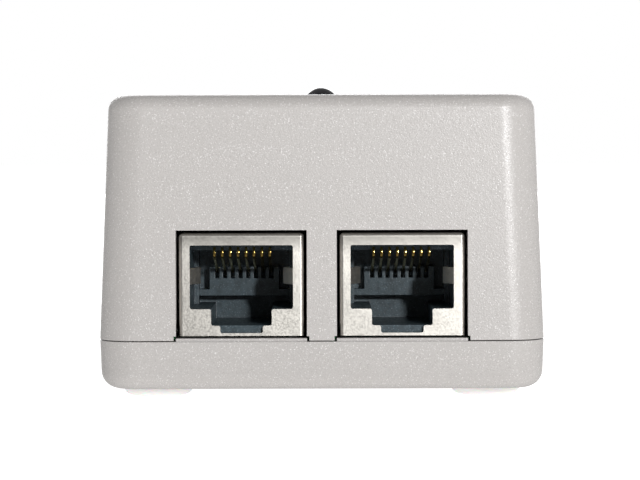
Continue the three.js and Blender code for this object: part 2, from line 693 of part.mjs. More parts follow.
// A ferrite E core around a wound bobbin; the middle leg stands upright.
function makeTransformer(x, y) {
  const group = new THREE.Group();
  const coreWidth = 25.4;
  const coreHeight = 19.5;
  const coreDepth = 7;
  const legWidth = 7;
  const sideLeg = 3.2;
  const yoke = 3;
  const stand = 2; // of the core above the board
  const bottom = SEAT + stand;
  const slab = block(around(x, coreWidth), around(y, coreDepth), [bottom, bottom + coreHeight]);
  const windows = [-1, 1].map((side) => {
    const middle = (side * (legWidth / 2 + coreWidth / 2 - sideLeg)) / 2;
    const width = coreWidth / 2 - sideLeg - legWidth / 2;
    return block(around(x + middle, width), around(y, 2 * coreDepth), [bottom + yoke, bottom + coreHeight - yoke]);
  });
  const core = cut(slab, ...windows);
  group.add(piece("transformer_core", core, FERRITE));
  const windingWidth = coreWidth - 2 * (sideLeg + GAP);
  const windingSpan = [bottom + yoke + GAP, bottom + coreHeight - yoke - GAP];
  const wound = outlined(roundedOutline(windingWidth, windingWidth - 2, 3), windingSpan);
  const hole = block(around(0, legWidth + 2 * GAP), around(0, coreDepth + 2 * GAP), [0, windingSpan[1] + 1]);
  group.add(piece("transformer_winding", cut(wound, hole).translate(x, y, 0), YELLOW_TAPE));
  return group;
}

// A power semiconductor on its metal tab, with the tab's back at y = 0 and the body towards +Y.
function makeTabPackageGeometry() {
  const width = 10;
  const tab = block(around(0, width), [0, 1.3], [4, 19.5]);
  const body = block(around(0, width), [0, 4.4], [4, 13]);
  const legs = [-2.54, 0, 2.54].map((x) => block(around(x, 0.8), [2.2, 2.7], [0, 4.5]));
  return join(tab, body, ...legs);
}

// An extruded heatsink: a plate with its back at y = 0 and fins towards -Y.
function makeHeatsinkGeometry(width, height, fins) {
  const plate = 1.5;
  const finDepth = 2.6;
  const finWidth = 1;
  const pitch = (width - finWidth) / (fins - 1);
  const ribs = Array.from({ length: fins }, (_, i) => {
    const left = -width / 2 + i * pitch;
    return block([left, left + finWidth], [-plate - finDepth, -plate / 2], [0, height]);
  });
  return join(block(around(0, width), [-plate, 0], [0, height]), ...ribs);
}

// A toroid standing on its edge, with the hole along Y.
function makeStandingToroid(name, x, y, radius, thickness) {
  const ring = new THREE.TorusGeometry(radius, thickness, 10, 24).rotateX(Math.PI / 2);
  return piece(name, ring.translate(x, y, SEAT + radius + thickness), ENAMELLED_COPPER);
}

// A drum choke: a winding between two flanges.
function makeDrumChoke(name, x, y) {
  const flange = 4.5;
  const waist = 4;
  const rim = 1.2;
  const height = 10;
  const profile = [
    [0, 0],
    [flange, 0],
    [flange, rim],
    [waist, rim + 0.3],
    [waist, height - rim - 0.3],
    [flange, height - rim],
    [flange, height],
    [0, height],
  ];
  return piece(name, turned(profile, x, y, SEAT), FERRITE);
}

// The mains side, in front of the inlet.
function makeMainsParts() {
  const group = new THREE.Group();
  group.add(makeStandingToroid("common_mode_choke", -17, INLET_FRONT - 8.8, 5, 2.4));
  group.add(piece("x2_capacitor", block([1, 14], [INLET_FRONT - 5.8, INLET_FRONT - 0.8], [SEAT, SEAT + 11]), FILM_BOX));
  group.add(piece("mains_fuse", upright(4.25, [SEAT, SEAT + 8], -19, INLET_FRONT + 1), EPOXY));
  const rectifier = block([-8.1, -4.3], [INLET_FRONT - 15, INLET_FRONT - 0.5], [SEAT, SEAT + 11]);
  group.add(piece("bridge_rectifier", rectifier, EPOXY));
  const heatsinkY = INLET_FRONT - 11.4;
  const heatsink = makeHeatsinkGeometry(22, HEADROOM - 6.4, 6).translate(12.5, heatsinkY, SEAT);
  group.add(piece("primary_heatsink", heatsink, ALUMINIUM));
  const transistor = makeTabPackageGeometry().translate(12.5, heatsinkY + GAP, SEAT);
  group.add(piece("switching_transistor", transistor, EPOXY));
  return group;
}

// The transformer, the reservoir capacitor and the controllers, midway between the sockets and the inlet.
function makeConverterParts() {
  const group = new THREE.Group();
  const middle = (SOCKET_BACK + INLET_FRONT) / 2 + 6;
  group.add(makeTransformer(9.5, middle));
  group.add(makeCapacitor("bulk_capacitor", 16, HEADROOM - 3.4, -15, middle));
  const under = [BOARD_BACK - GAP - 1.5, BOARD_BACK - GAP];
  group.add(piece("pwm_controller", block(around(-6, 5), around(middle - 2, 4), under), EPOXY));
  group.add(piece("poe_controller", block(around(6, 6), around(SOCKET_BACK + 8.8, 6), under), EPOXY));
  return group;
}

// The output side, behind the sockets.
function makeOutputParts() {
  const group = new THREE.Group();
  group.add(makeCapacitor("output_capacitor_1", 10, 20, -18, SOCKET_BACK + 17.8));
  group.add(makeCapacitor("output_capacitor_2", 10, 20, -6.5, SOCKET_BACK + 18.8));
  group.add(makeDrumChoke("output_choke", 8, SOCKET_BACK + 19.3));
  const sideways = Math.PI / 2; // the heatsink's fins point outwards, to +X
  const heatsinkX = 20.6;
  const heatsinkY = SOCKET_BACK + 17.8;
  const heatsink = makeHeatsinkGeometry(13, HEADROOM - 8.4, 4).rotateZ(sideways);
  group.add(piece("output_heatsink", heatsink.translate(heatsinkX, heatsinkY, SEAT), ALUMINIUM));
  const rectifier = makeTabPackageGeometry().rotateZ(sideways);
  group.add(piece("output_rectifier", rectifier.translate(heatsinkX - GAP, heatsinkY, SEAT), EPOXY));
  const coupler = block([-16.2, -9.8], [SOCKET_BACK + 24, SOCKET_BACK + 28.4], [SEAT, SEAT + 3.6]);
  group.add(piece("optocoupler", coupler, EPOXY));
  for (const [name, side] of Object.entries({ data: -1, power: 1 })) {
    const magnetics = block(around(13 * side, 12.7), [SOCKET_BACK + 0.55, SOCKET_BACK + 10.05], [SEAT, SEAT + 6]);
    group.add(piece(name + "_magnetics", magnetics, EPOXY));
  }
  return group;
}

// ---------------------------------------------------------------------------------------------------------------
// The injector
// ---------------------------------------------------------------------------------------------------------------

const injector = new THREE.Group();
injector.name = "poe_injector";
injector.add(makeUpperCover());
injector.add(makeBaseTray());
injector.add(makeFeetAndScrews());
injector.add(makeRatingLabel());
for (const [name, x] of Object.entries(SOCKET_XS)) injector.add(makeSocket(name, x));
injector.add(makeMainsInlet());
injector.add(makeIndicator());
injector.add(makeMainBoard());
injector.add(makeInsulationSheet());
injector.add(makeMainsParts());
injector.add(makeConverterParts());
injector.add(makeOutputParts());

export default injector;
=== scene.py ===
"""Looks of a single-port PoE injector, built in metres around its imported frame.

The case stands on z = 0. Its two sockets face -Y and its mains inlet faces +Y.
"""

import logging
import math
from collections.abc import Callable, Sequence
from dataclasses import dataclass, field
from enum import Enum

import bmesh
import bpy
from mathutils import Matrix, Vector


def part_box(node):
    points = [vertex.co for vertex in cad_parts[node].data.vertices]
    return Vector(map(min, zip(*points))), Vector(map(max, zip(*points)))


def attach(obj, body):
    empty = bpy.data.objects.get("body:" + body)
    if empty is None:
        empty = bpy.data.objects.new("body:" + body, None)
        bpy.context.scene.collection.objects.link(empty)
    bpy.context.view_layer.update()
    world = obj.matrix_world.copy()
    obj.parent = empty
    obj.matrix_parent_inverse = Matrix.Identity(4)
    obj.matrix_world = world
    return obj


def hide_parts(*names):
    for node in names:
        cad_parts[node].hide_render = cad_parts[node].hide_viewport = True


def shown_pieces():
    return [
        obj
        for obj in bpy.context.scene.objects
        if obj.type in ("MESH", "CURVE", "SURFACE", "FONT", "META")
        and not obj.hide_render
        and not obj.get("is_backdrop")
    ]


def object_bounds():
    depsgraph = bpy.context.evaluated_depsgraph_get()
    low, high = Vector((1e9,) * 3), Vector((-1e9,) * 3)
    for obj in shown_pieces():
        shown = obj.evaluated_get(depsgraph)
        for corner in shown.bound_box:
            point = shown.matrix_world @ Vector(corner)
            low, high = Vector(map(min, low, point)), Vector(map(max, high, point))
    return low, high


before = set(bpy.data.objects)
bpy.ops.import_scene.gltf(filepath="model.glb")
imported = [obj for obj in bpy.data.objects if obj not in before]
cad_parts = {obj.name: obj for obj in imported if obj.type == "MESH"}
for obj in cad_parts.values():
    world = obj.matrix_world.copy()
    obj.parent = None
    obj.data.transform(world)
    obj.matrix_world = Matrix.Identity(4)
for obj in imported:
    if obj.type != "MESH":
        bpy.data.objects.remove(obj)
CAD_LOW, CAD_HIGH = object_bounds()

MM = 0.001
SHARP_ANGLE = math.radians(32)
# Moulded and pressed edges are rounded where their faces meet at more than these angles.
MOULDED_ANGLE = math.radians(50)
PRESSED_ANGLE = math.radians(60)
# How far cuts and joined parts reach past the faces that they meet, or stop short of them.
BEYOND = 1 * MM
# The most of a side that the arc at its end takes up.
ARC_REACH = 0.45
# Points nearer than the first are merged. The second keeps a turned tip from closing to one point.
DOUBLE_POINT = 1e-7
LEAST_RADIUS = 1e-5
CORNERS = ("front_left", "front_right", "rear_left", "rear_right")
# The frame's own plain materials have the slots' bare names.
FINISH_SUFFIX = "_finish"
# The colour sockets of a Mix node.
MIX_FIRST = 6
MIX_SECOND = 7
MIX_RESULT = 2
# Most of a noise lies between these values.
NOISE_LOW = 0.3
NOISE_HIGH = 0.7
LEAST_ROUGHNESS = 0.02

log = logging.getLogger("injector")

Span = tuple[float, float]
Outline = list[tuple[float, float]]
NodeSocket = bpy.types.NodeSocket


class Body(Enum):
    """The bodies of the frame that pieces ride on."""

    CASE = "case"
    DATA_CONTACTS = "data_contacts"
    POWER_CONTACTS = "power_contacts"


class Axis(Enum):
    """The direction that an outline is drawn out along."""

    X = 0
    Y = 1
    Z = 2


class Slot(Enum):
    """The record's material slots."""

    CASE_PLASTIC = "case_plastic"
    CLEAR_RUBBER = "clear_rubber"
    SCREW_STEEL = "screw_steel"
    LABEL_FILM = "label_film"
    SHIELD_NICKEL = "shield_nickel"
    SOCKET_PLASTIC = "socket_plastic"
    CONTACT_GOLD = "contact_gold"
    INLET_PLASTIC = "inlet_plastic"
    PIN_NICKEL = "pin_nickel"
    SMOKED_LENS = "smoked_lens"
    SPACER_NYLON = "spacer_nylon"
    TINNED_WIRE = "tinned_wire"
    BOARD_LAMINATE = "board_laminate"
    INSULATION_FILM = "insulation_film"
    FERRITE = "ferrite"
    WINDING_TAPE = "winding_tape"
    CAPACITOR_SLEEVE = "capacitor_sleeve"
    COPPER_WINDING = "copper_winding"
    FILM_BOX = "film_box"
    EPOXY = "epoxy"
    HEATSINK_ALUMINIUM = "heatsink_aluminium"


# --------------------------------------------------------------------------------------------------
# Finishes
# --------------------------------------------------------------------------------------------------


class Graph:
    """The node tree of one material, with a Principled shader at its end."""

    def __init__(self, name: str) -> None:
        """Starts an empty tree.

        Args:
            name: the material's name.
        """
        self.material = bpy.data.materials.new(name)
        self.material.use_nodes = True
        self.tree = self.material.node_tree
        self.tree.nodes.clear()
        output = self.tree.nodes.new("ShaderNodeOutputMaterial")
        self.shader = self.tree.nodes.new("ShaderNodeBsdfPrincipled")
        self.base = self.shader.inputs["Base Color"]
        self.join(self.shader.outputs["BSDF"], output.inputs["Surface"])
        self.place = self.tree.nodes.new("ShaderNodeTexCoord").outputs["Object"]

    def join(self, source: NodeSocket, target: NodeSocket) -> None:
        """Links one socket to another."""
        self.tree.links.new(source, target)

    def set(self, socket: str, value: float | tuple[float, ...]) -> None:
        """Sets a value on the shader's own socket."""
        self.shader.inputs[socket].default_value = value

    def stretched(self, stretch: tuple[float, float, float]) -> NodeSocket:
        """Scales the place on the piece along each axis.

        Args:
            stretch: the scale along X, Y and Z.

        Returns:
            The scaled place.
        """
        mapping = self.tree.nodes.new("ShaderNodeMapping")
        mapping.inputs["Scale"].default_value = stretch
        self.join(self.place, mapping.inputs["Vector"])
        return mapping.outputs["Vector"]

    def noise(
        self, size: float, detail: float = 2, stretch: tuple[float, float, float] = (1, 1, 1)
    ) -> NodeSocket:
        """Makes soft noise.

        Args:
            size: of one feature, in metres.
            detail: how many finer layers it has.
            stretch: the scale along X, Y and Z.

        Returns:
            The noise, from 0 to 1.
        """
        node = self.tree.nodes.new("ShaderNodeTexNoise")
        node.inputs["Scale"].default_value = 1 / size
        node.inputs["Detail"].default_value = detail
        self.join(self.stretched(stretch), node.inputs["Vector"])
        return node.outputs["Fac"]

    def height(self) -> NodeSocket:
        """Tells how far up the piece a point is.

        Returns:
            The height, from 0 to 1.
        """
        parts = self.tree.nodes.new("ShaderNodeSeparateXYZ")
        self.join(self.place.node.outputs["Generated"], parts.inputs["Vector"])
        return parts.outputs["Z"]

    def bands(self, size: float, direction: str) -> NodeSocket:
        """Makes parallel bands.

        Args:
            size: from one band to the next, in metres.
            direction: X, Y or Z, across the bands.

        Returns:
            The bands, from 0 to 1.
        """
        node = self.tree.nodes.new("ShaderNodeTexWave")
        node.bands_direction = direction
        node.inputs["Scale"].default_value = math.pi / (10 * size)
        self.join(self.place, node.inputs["Vector"])
        return node.outputs["Fac"]

    def ramp(self, value: NodeSocket, low: Span, high: Span) -> NodeSocket:
        """Maps a value smoothly from one span to another.

        Args:
            value: what is mapped.
            low: the value and result at the lower end.
            high: the value and result at the upper end.

        Returns:
            The mapped value.
        """
        node = self.tree.nodes.new("ShaderNodeMapRange")
        node.interpolation_type = "SMOOTHSTEP"
        for name, number in zip(("From Min", "To Min", "From Max", "To Max"), (*low, *high)):
            node.inputs[name].default_value = number
        self.join(value, node.inputs["Value"])
        return node.outputs["Result"]

    def mix(self, share: NodeSocket, first: "Colour | NodeSocket", second: "Colour") -> NodeSocket:
        """Mixes two colours.

        Args:
            share: of the second colour.
            first: a colour, or the result of another mix.
            second: a colour.

        Returns:
            The mixed colour.
        """
        node = self.tree.nodes.new("ShaderNodeMix")
        node.data_type = "RGBA"
        if isinstance(first, Colour):
            node.inputs[MIX_FIRST].default_value = first.rgba
        else:
            self.join(first, node.inputs[MIX_FIRST])
        node.inputs[MIX_SECOND].default_value = second.rgba
        self.join(share, node.inputs["Factor"])
        return node.outputs[MIX_RESULT]

    def cover(self, share: NodeSocket, colour: "Colour") -> None:
        """Lays a colour over the colour that the shader has."""
        self.join(self.mix(share, self.base.links[0].from_socket, colour), self.base)

    def bump(self, height: NodeSocket, depth: float) -> None:
        """Adds relief over what relief there is.

        Args:
            height: from 0 to 1.
            depth: of the relief, in metres.
        """
        node = self.tree.nodes.new("ShaderNodeBump")
        node.inputs["Distance"].default_value = depth
        self.join(height, node.inputs["Height"])
        normal = self.shader.inputs["Normal"]
        if normal.is_linked:
            self.join(normal.links[0].from_socket, node.inputs["Normal"])
        self.join(node.outputs["Normal"], normal)


@dataclass(frozen=True)
class Colour:
    """A linear colour."""

    red: float
    green: float
    blue: float

    @property
    def rgba(self) -> tuple[float, float, float, float]:
        """The colour with full opacity."""
        return (self.red, self.green, self.blue, 1)

    def times(self, share: float) -> "Colour":
        """The same hue, lighter or darker."""
        return Colour(*(min(1.0, share * part) for part in (self.red, self.green, self.blue)))


@dataclass(frozen=True)
class Finish:
    """A surface with a slow change of tone and a fine grain."""

    slot: Slot
    colour: Colour
    roughness: float
    metallic: float = 0
    tone_size: float = 9 * MM
    tone_change: float = 0.06
    grain_size: float = 0.3 * MM
    grain_depth: float = 0.01 * MM
    grain_stretch: tuple[float, float, float] = (1, 1, 1)
    roughness_change: float = 0.06

    def material(self) -> bpy.types.Material:
        """Makes the finish's material, once.

        Returns:
            The material, which all pieces of this finish share.
        """
        name = self.slot.value + FINISH_SUFFIX
        found = bpy.data.materials.get(name)
        if found:
            return found
        graph = Graph(name)
        graph.set("Metallic", self.metallic)
        self.paint(graph)
        return graph.material

    def paint(self, graph: Graph) -> None:
        """Lays the colour, roughness and grain.

        Args:
            graph: the material's tree.
        """
        tone = graph.noise(self.tone_size, 3)
        lighter = self.colour.times(1 + self.tone_change)
        graph.join(graph.mix(tone, self.colour.times(1 - self.tone_change), lighter), graph.base)
        grain = graph.noise(self.grain_size, 3, self.grain_stretch)
        smooth = max(LEAST_ROUGHNESS, self.roughness - self.roughness_change)
        rough = self.roughness + self.roughness_change
        graph.join(
            graph.ramp(grain, (NOISE_LOW, smooth), (NOISE_HIGH, rough)), graph.shader.inputs["Roughness"]
        )
        graph.bump(grain, self.grain_depth)


@dataclass(frozen=True)
class ErodedPlastic(Finish):
    """Moulded plastic with the coarse grain of a spark-eroded tool, and bright dots painted over it as
    glints.
    """

    speck_size: float = 0.17 * MM
    # The colour and strength of the painted glints laid on the bright dots.
    painted_glint_colour: Colour = Colour(0.8, 0.79, 0.78)
    painted_glint_share: float = 0.5
    speck_from: float = 0.6
    speck_full: float = 0.74
    speck_depth: float = 0.026 * MM
    pit_size: float = 0.3 * MM
    pit_depth: float = 0.024 * MM
    shine: float = 0.62

    def paint(self, graph: Graph) -> None:
        """Adds bright dots of painted glint, raised a little as relief, and shallow pits to the plain
        finish.

        Args:
            graph: the material's tree.
        """
        super().paint(graph)
        noise = graph.noise(self.speck_size, 1)
        # Painted glints: the dots' light colour stands in for the lamp's glints, and the same dots are also
        # raised as relief.
        speck_relief_and_glints = graph.ramp(noise, (self.speck_from, 0), (self.speck_full, self.painted_glint_share))
        graph.cover(speck_relief_and_glints, self.painted_glint_colour)
        graph.set("Specular IOR Level", self.shine)
        graph.bump(speck_relief_and_glints, self.speck_depth)
        graph.bump(graph.noise(self.pit_size, 2), self.pit_depth)


@dataclass(frozen=True)
class CloudyRubber(Finish):
    """Clear rubber that light passes through."""

    clearness: float = 0.12
    glow: float = 0.3
    glow_reach: float = 2 * MM

    def paint(self, graph: Graph) -> None:
        """Lets light into the plain finish.

        Args:
            graph: the material's tree.
        """
        super().paint(graph)
        graph.set("Transmission Weight", self.clearness)
        graph.set("Subsurface Weight", self.glow)
        graph.set("Subsurface Scale", self.glow_reach)


@dataclass(frozen=True)
class GlossPlastic(Finish):
    """Polished moulded plastic, with faint flow streaks."""

    coat: float = 0.5
    coat_roughness: float = 0.05
    shine: float = 0.5
    flow_size: float = 2.2 * MM
    flow_depth: float = 0.03 * MM

    def paint(self, graph: Graph) -> None:
        """Adds a gloss coat to the plain finish.

        Args:
            graph: the material's tree.
        """
        super().paint(graph)
        graph.set("Coat Weight", self.coat)
        graph.set("Coat Roughness", self.coat_roughness)
        graph.set("Specular IOR Level", self.shine)
        graph.bump(graph.noise(self.flow_size, 1), self.flow_depth)


@dataclass(frozen=True)
class WoundWire(Finish):
    """Turns of enamelled wire or tape, with a groove between neighbours."""

    turn: float = 0.6 * MM
    direction: str = "Z"
    groove_depth: float = 0.12 * MM

    def paint(self, graph: Graph) -> None:
        """Adds the grooves between turns to the plain finish.

        Args:
            graph: the material's tree.
        """
        super().paint(graph)
        graph.bump(graph.bands(self.turn, self.direction), self.groove_depth)


@dataclass(frozen=True)
class PressedNickel(Finish):
    """Plated sheet, dented a little by the press, with painted shade that darkens it towards its upper fold.
    """

    dent_size: float = 5 * MM
    dent_depth: float = 0.06 * MM
    # Painted shade towards the top: where it starts, how much of it, and how dark it is.
    painted_shade_from: float = 0.78
    painted_shade_share: float = 0.62
    painted_shade_tone: float = 0.2

    def paint(self, graph: Graph) -> None:
        """Adds the dents and a painted shade along the upper edge to the plain finish.

        Args:
            graph: the material's tree.
        """
        super().paint(graph)
        # Painted shade: a darker colour laid over the upper part of the piece, by height.
        painted_shade = graph.ramp(graph.height(), (self.painted_shade_from, 0), (1, self.painted_shade_share))
        graph.cover(painted_shade, self.colour.times(self.painted_shade_tone))
        graph.bump(graph.noise(self.dent_size, 1), self.dent_depth)


@dataclass(frozen=True)
class SolderMask(Finish):
    """Green lacquer over copper tracks, which stand a little proud."""

    track_size: float = 2.4 * MM
    track_from: float = 0.55
    track_full: float = 0.6
    track_tone: float = 1.7
    track_height: float = 0.035 * MM

    def paint(self, graph: Graph) -> None:
        """Adds wide tracks below the lacquer to the plain finish.

        Args:
            graph: the material's tree.
        """
        super().paint(graph)
        tracks = graph.ramp(graph.bands(self.track_size, "X"), (self.track_from, 0), (self.track_full, 1))
        graph.cover(tracks, self.colour.times(self.track_tone))
        graph.bump(tracks, self.track_height)


# Its bright dots are painted glints, in the finish's default glint colour.
CASE_PLASTIC = ErodedPlastic(
    Slot.CASE_PLASTIC,
    Colour(0.392, 0.374, 0.361),
    0.35,
    tone_change=0.015,
    grain_size=0.16 * MM,
    grain_depth=0.024 * MM,
    roughness_change=0.12,
)
CLEAR_RUBBER = CloudyRubber(Slot.CLEAR_RUBBER, Colour(0.93, 0.92, 0.91), 0.35, tone_change=0.03)
SCREW_STEEL = Finish(Slot.SCREW_STEEL, Colour(0.3, 0.3, 0.31), 0.32, metallic=1)
LABEL_FILM = Finish(Slot.LABEL_FILM, Colour(0.48, 0.49, 0.5), 0.38, grain_stretch=(1, 12, 1))
SHIELD_NICKEL = PressedNickel(
    Slot.SHIELD_NICKEL,
    Colour(0.84, 0.81, 0.75),
    0.42,
    metallic=1,
    tone_size=0.5 * MM,
    tone_change=0.12,
    grain_size=0.25 * MM,
    grain_depth=0.007 * MM,
)
SOCKET_PLASTIC = ErodedPlastic(
    Slot.SOCKET_PLASTIC,
    Colour(0.036, 0.054, 0.064),
    0.4,
    tone_size=0.8 * MM,
    tone_change=0.6,
    roughness_change=0.12,
    speck_size=0.2 * MM,
    # The bluish bright dots here are painted glints of the lit inside of the socket.
    painted_glint_colour=Colour(0.16, 0.21, 0.24),
    painted_glint_share=0.5,
    speck_depth=0.01 * MM,
    pit_depth=0.01 * MM,
    shine=0.4,
)
CONTACT_GOLD = Finish(Slot.CONTACT_GOLD, Colour(0.7, 0.48, 0.14), 0.2, metallic=1, grain_depth=0.003 * MM)
INLET_PLASTIC = Finish(Slot.INLET_PLASTIC, Colour(0.012, 0.012, 0.013), 0.42)
PIN_NICKEL = Finish(Slot.PIN_NICKEL, Colour(0.66, 0.65, 0.62), 0.18, metallic=1, grain_stretch=(1, 0.1, 1))
SMOKED_LENS = GlossPlastic(
    Slot.SMOKED_LENS, Colour(0.01, 0.01, 0.012), 0.16, grain_depth=0.001 * MM, coat=0.15, shine=0.25
)
SPACER_NYLON = Finish(Slot.SPACER_NYLON, Colour(0.02, 0.02, 0.02), 0.5)
TINNED_WIRE = Finish(Slot.TINNED_WIRE, Colour(0.52, 0.53, 0.54), 0.3, metallic=1)
BOARD_LAMINATE = SolderMask(Slot.BOARD_LAMINATE, Colour(0.02, 0.11, 0.04), 0.32)
INSULATION_FILM = Finish(Slot.INSULATION_FILM, Colour(0.02, 0.018, 0.015), 0.62)
FERRITE = Finish(Slot.FERRITE, Colour(0.045, 0.046, 0.05), 0.58, grain_size=0.12 * MM)
WINDING_TAPE = WoundWire(Slot.WINDING_TAPE, Colour(0.72, 0.5, 0.05), 0.28, turn=3 * MM)
CAPACITOR_SLEEVE = GlossPlastic(Slot.CAPACITOR_SLEEVE, Colour(0.012, 0.025, 0.09), 0.28)
COPPER_WINDING = WoundWire(Slot.COPPER_WINDING, Colour(0.4, 0.11, 0.03), 0.26, metallic=1, direction="X")
FILM_BOX = GlossPlastic(Slot.FILM_BOX, Colour(0.66, 0.45, 0.03), 0.34)
EPOXY = Finish(Slot.EPOXY, Colour(0.012, 0.012, 0.014), 0.5, grain_size=0.14 * MM)
HEATSINK_ALUMINIUM = Finish(
    Slot.HEATSINK_ALUMINIUM, Colour(0.47, 0.48, 0.5), 0.34, metallic=1, grain_stretch=(12, 12, 0.5)
)


# --------------------------------------------------------------------------------------------------
# Shapes
# --------------------------------------------------------------------------------------------------


def around(middle: float, width: float) -> Span:
    """The span of a width around its middle."""
    return (middle - width / 2, middle + width / 2)


def span(one: float, other: float) -> Span:
    """The span between two places, from the lower one."""
    return (min(one, other), max(one, other))


def quarter_turn(steps: int) -> list[tuple[float, float]]:
    """The sine and cosine at even steps through a quarter turn."""
    angles = [step / steps * math.pi / 2 for step in range(steps + 1)]
    return [(math.sin(angle), math.cos(angle)) for angle in angles]


def in_scene(name: str, data: bpy.types.ID) -> bpy.types.Object:
    """Puts a mesh, curve, light or camera into the scene.

    Args:
        name: of the object.
        data: that it shows.

    Returns:
        The object.
    """
    made = bpy.data.objects.new(name, data)
    bpy.context.scene.collection.objects.link(made)
    return made


def add_rounding(target: bpy.types.Object, radius: float, steps: int, angle: float) -> None:
    """Adds a modifier that rounds the edges sharper than an angle.

    Args:
        target: the object to be rounded.
        radius: of the rounding.
        steps: across it.
        angle: the least angle between two faces whose edge is rounded.
    """
    modifier = target.modifiers.new("round", "BEVEL")
    modifier.width = radius
    modifier.segments = steps
    modifier.limit_method = "ANGLE"
    modifier.angle_limit = angle


def rounded_outline(corners: Outline, radius: float, steps: int = 5) -> Outline:
    """Rounds the corners of an outline.

    Args:
        corners: the outline's points in order.
        radius: of each corner's arc, kept within its sides.
        steps: along each arc.

    Returns:
        The rounded outline.
    """
    points: Outline = []
    for index, corner in enumerate(corners):
        here = Vector(corner)
        back = Vector(corners[index - 1]) - here
        ahead = Vector(corners[(index + 1) % len(corners)]) - here
        half_angle = back.angle(ahead) / 2
        reach = min(radius / math.tan(half_angle), ARC_REACH * back.length, ARC_REACH * ahead.length)
        start = here + back.normalized() * reach
        end = here + ahead.normalized() * reach
        for step in range(steps + 1):
            share = step / steps
            bent = start * (1 - share) ** 2 + here * (2 * share * (1 - share)) + end * share**2
            points.append((bent.x, bent.y))
    return points


def rectangle(across: Span, up: Span) -> Outline:
    """The corners of a rectangle, counter-clockwise."""
    return [(across[0], up[0]), (across[1], up[0]), (across[1], up[1]), (across[0], up[1])]


def rounded_plan(low: Vector, high: Vector, inset: float, radius: float) -> Outline:
    """A box's rounded outline from above, drawn in by an inset."""
    across, deep = (low.x + inset, high.x - inset), (low.y + inset, high.y - inset)
    return rounded_outline(rectangle(across, deep), radius)


def plan_ring(width: float, length: float, radius: float, height: float, steps: int) -> list[Vector]:
    """A rounded rectangle around the Z axis.

    Args:
        width: along X.
        length: along Y.
        radius: of the corners.
        height: of the ring.
        steps: along each corner.

    Returns:
        The ring's points, counter-clockwise.
    """
    points = []
    for quarter, (side, end) in enumerate(((1, 1), (-1, 1), (-1, -1), (1, -1))):
        middle = Vector((side * (width / 2 - radius), end * (length / 2 - radius), height))
        for step in range(steps + 1):
            angle = (quarter + step / steps) * math.pi / 2
            points.append(middle + radius * Vector((math.cos(angle), math.sin(angle), 0)))
    return points


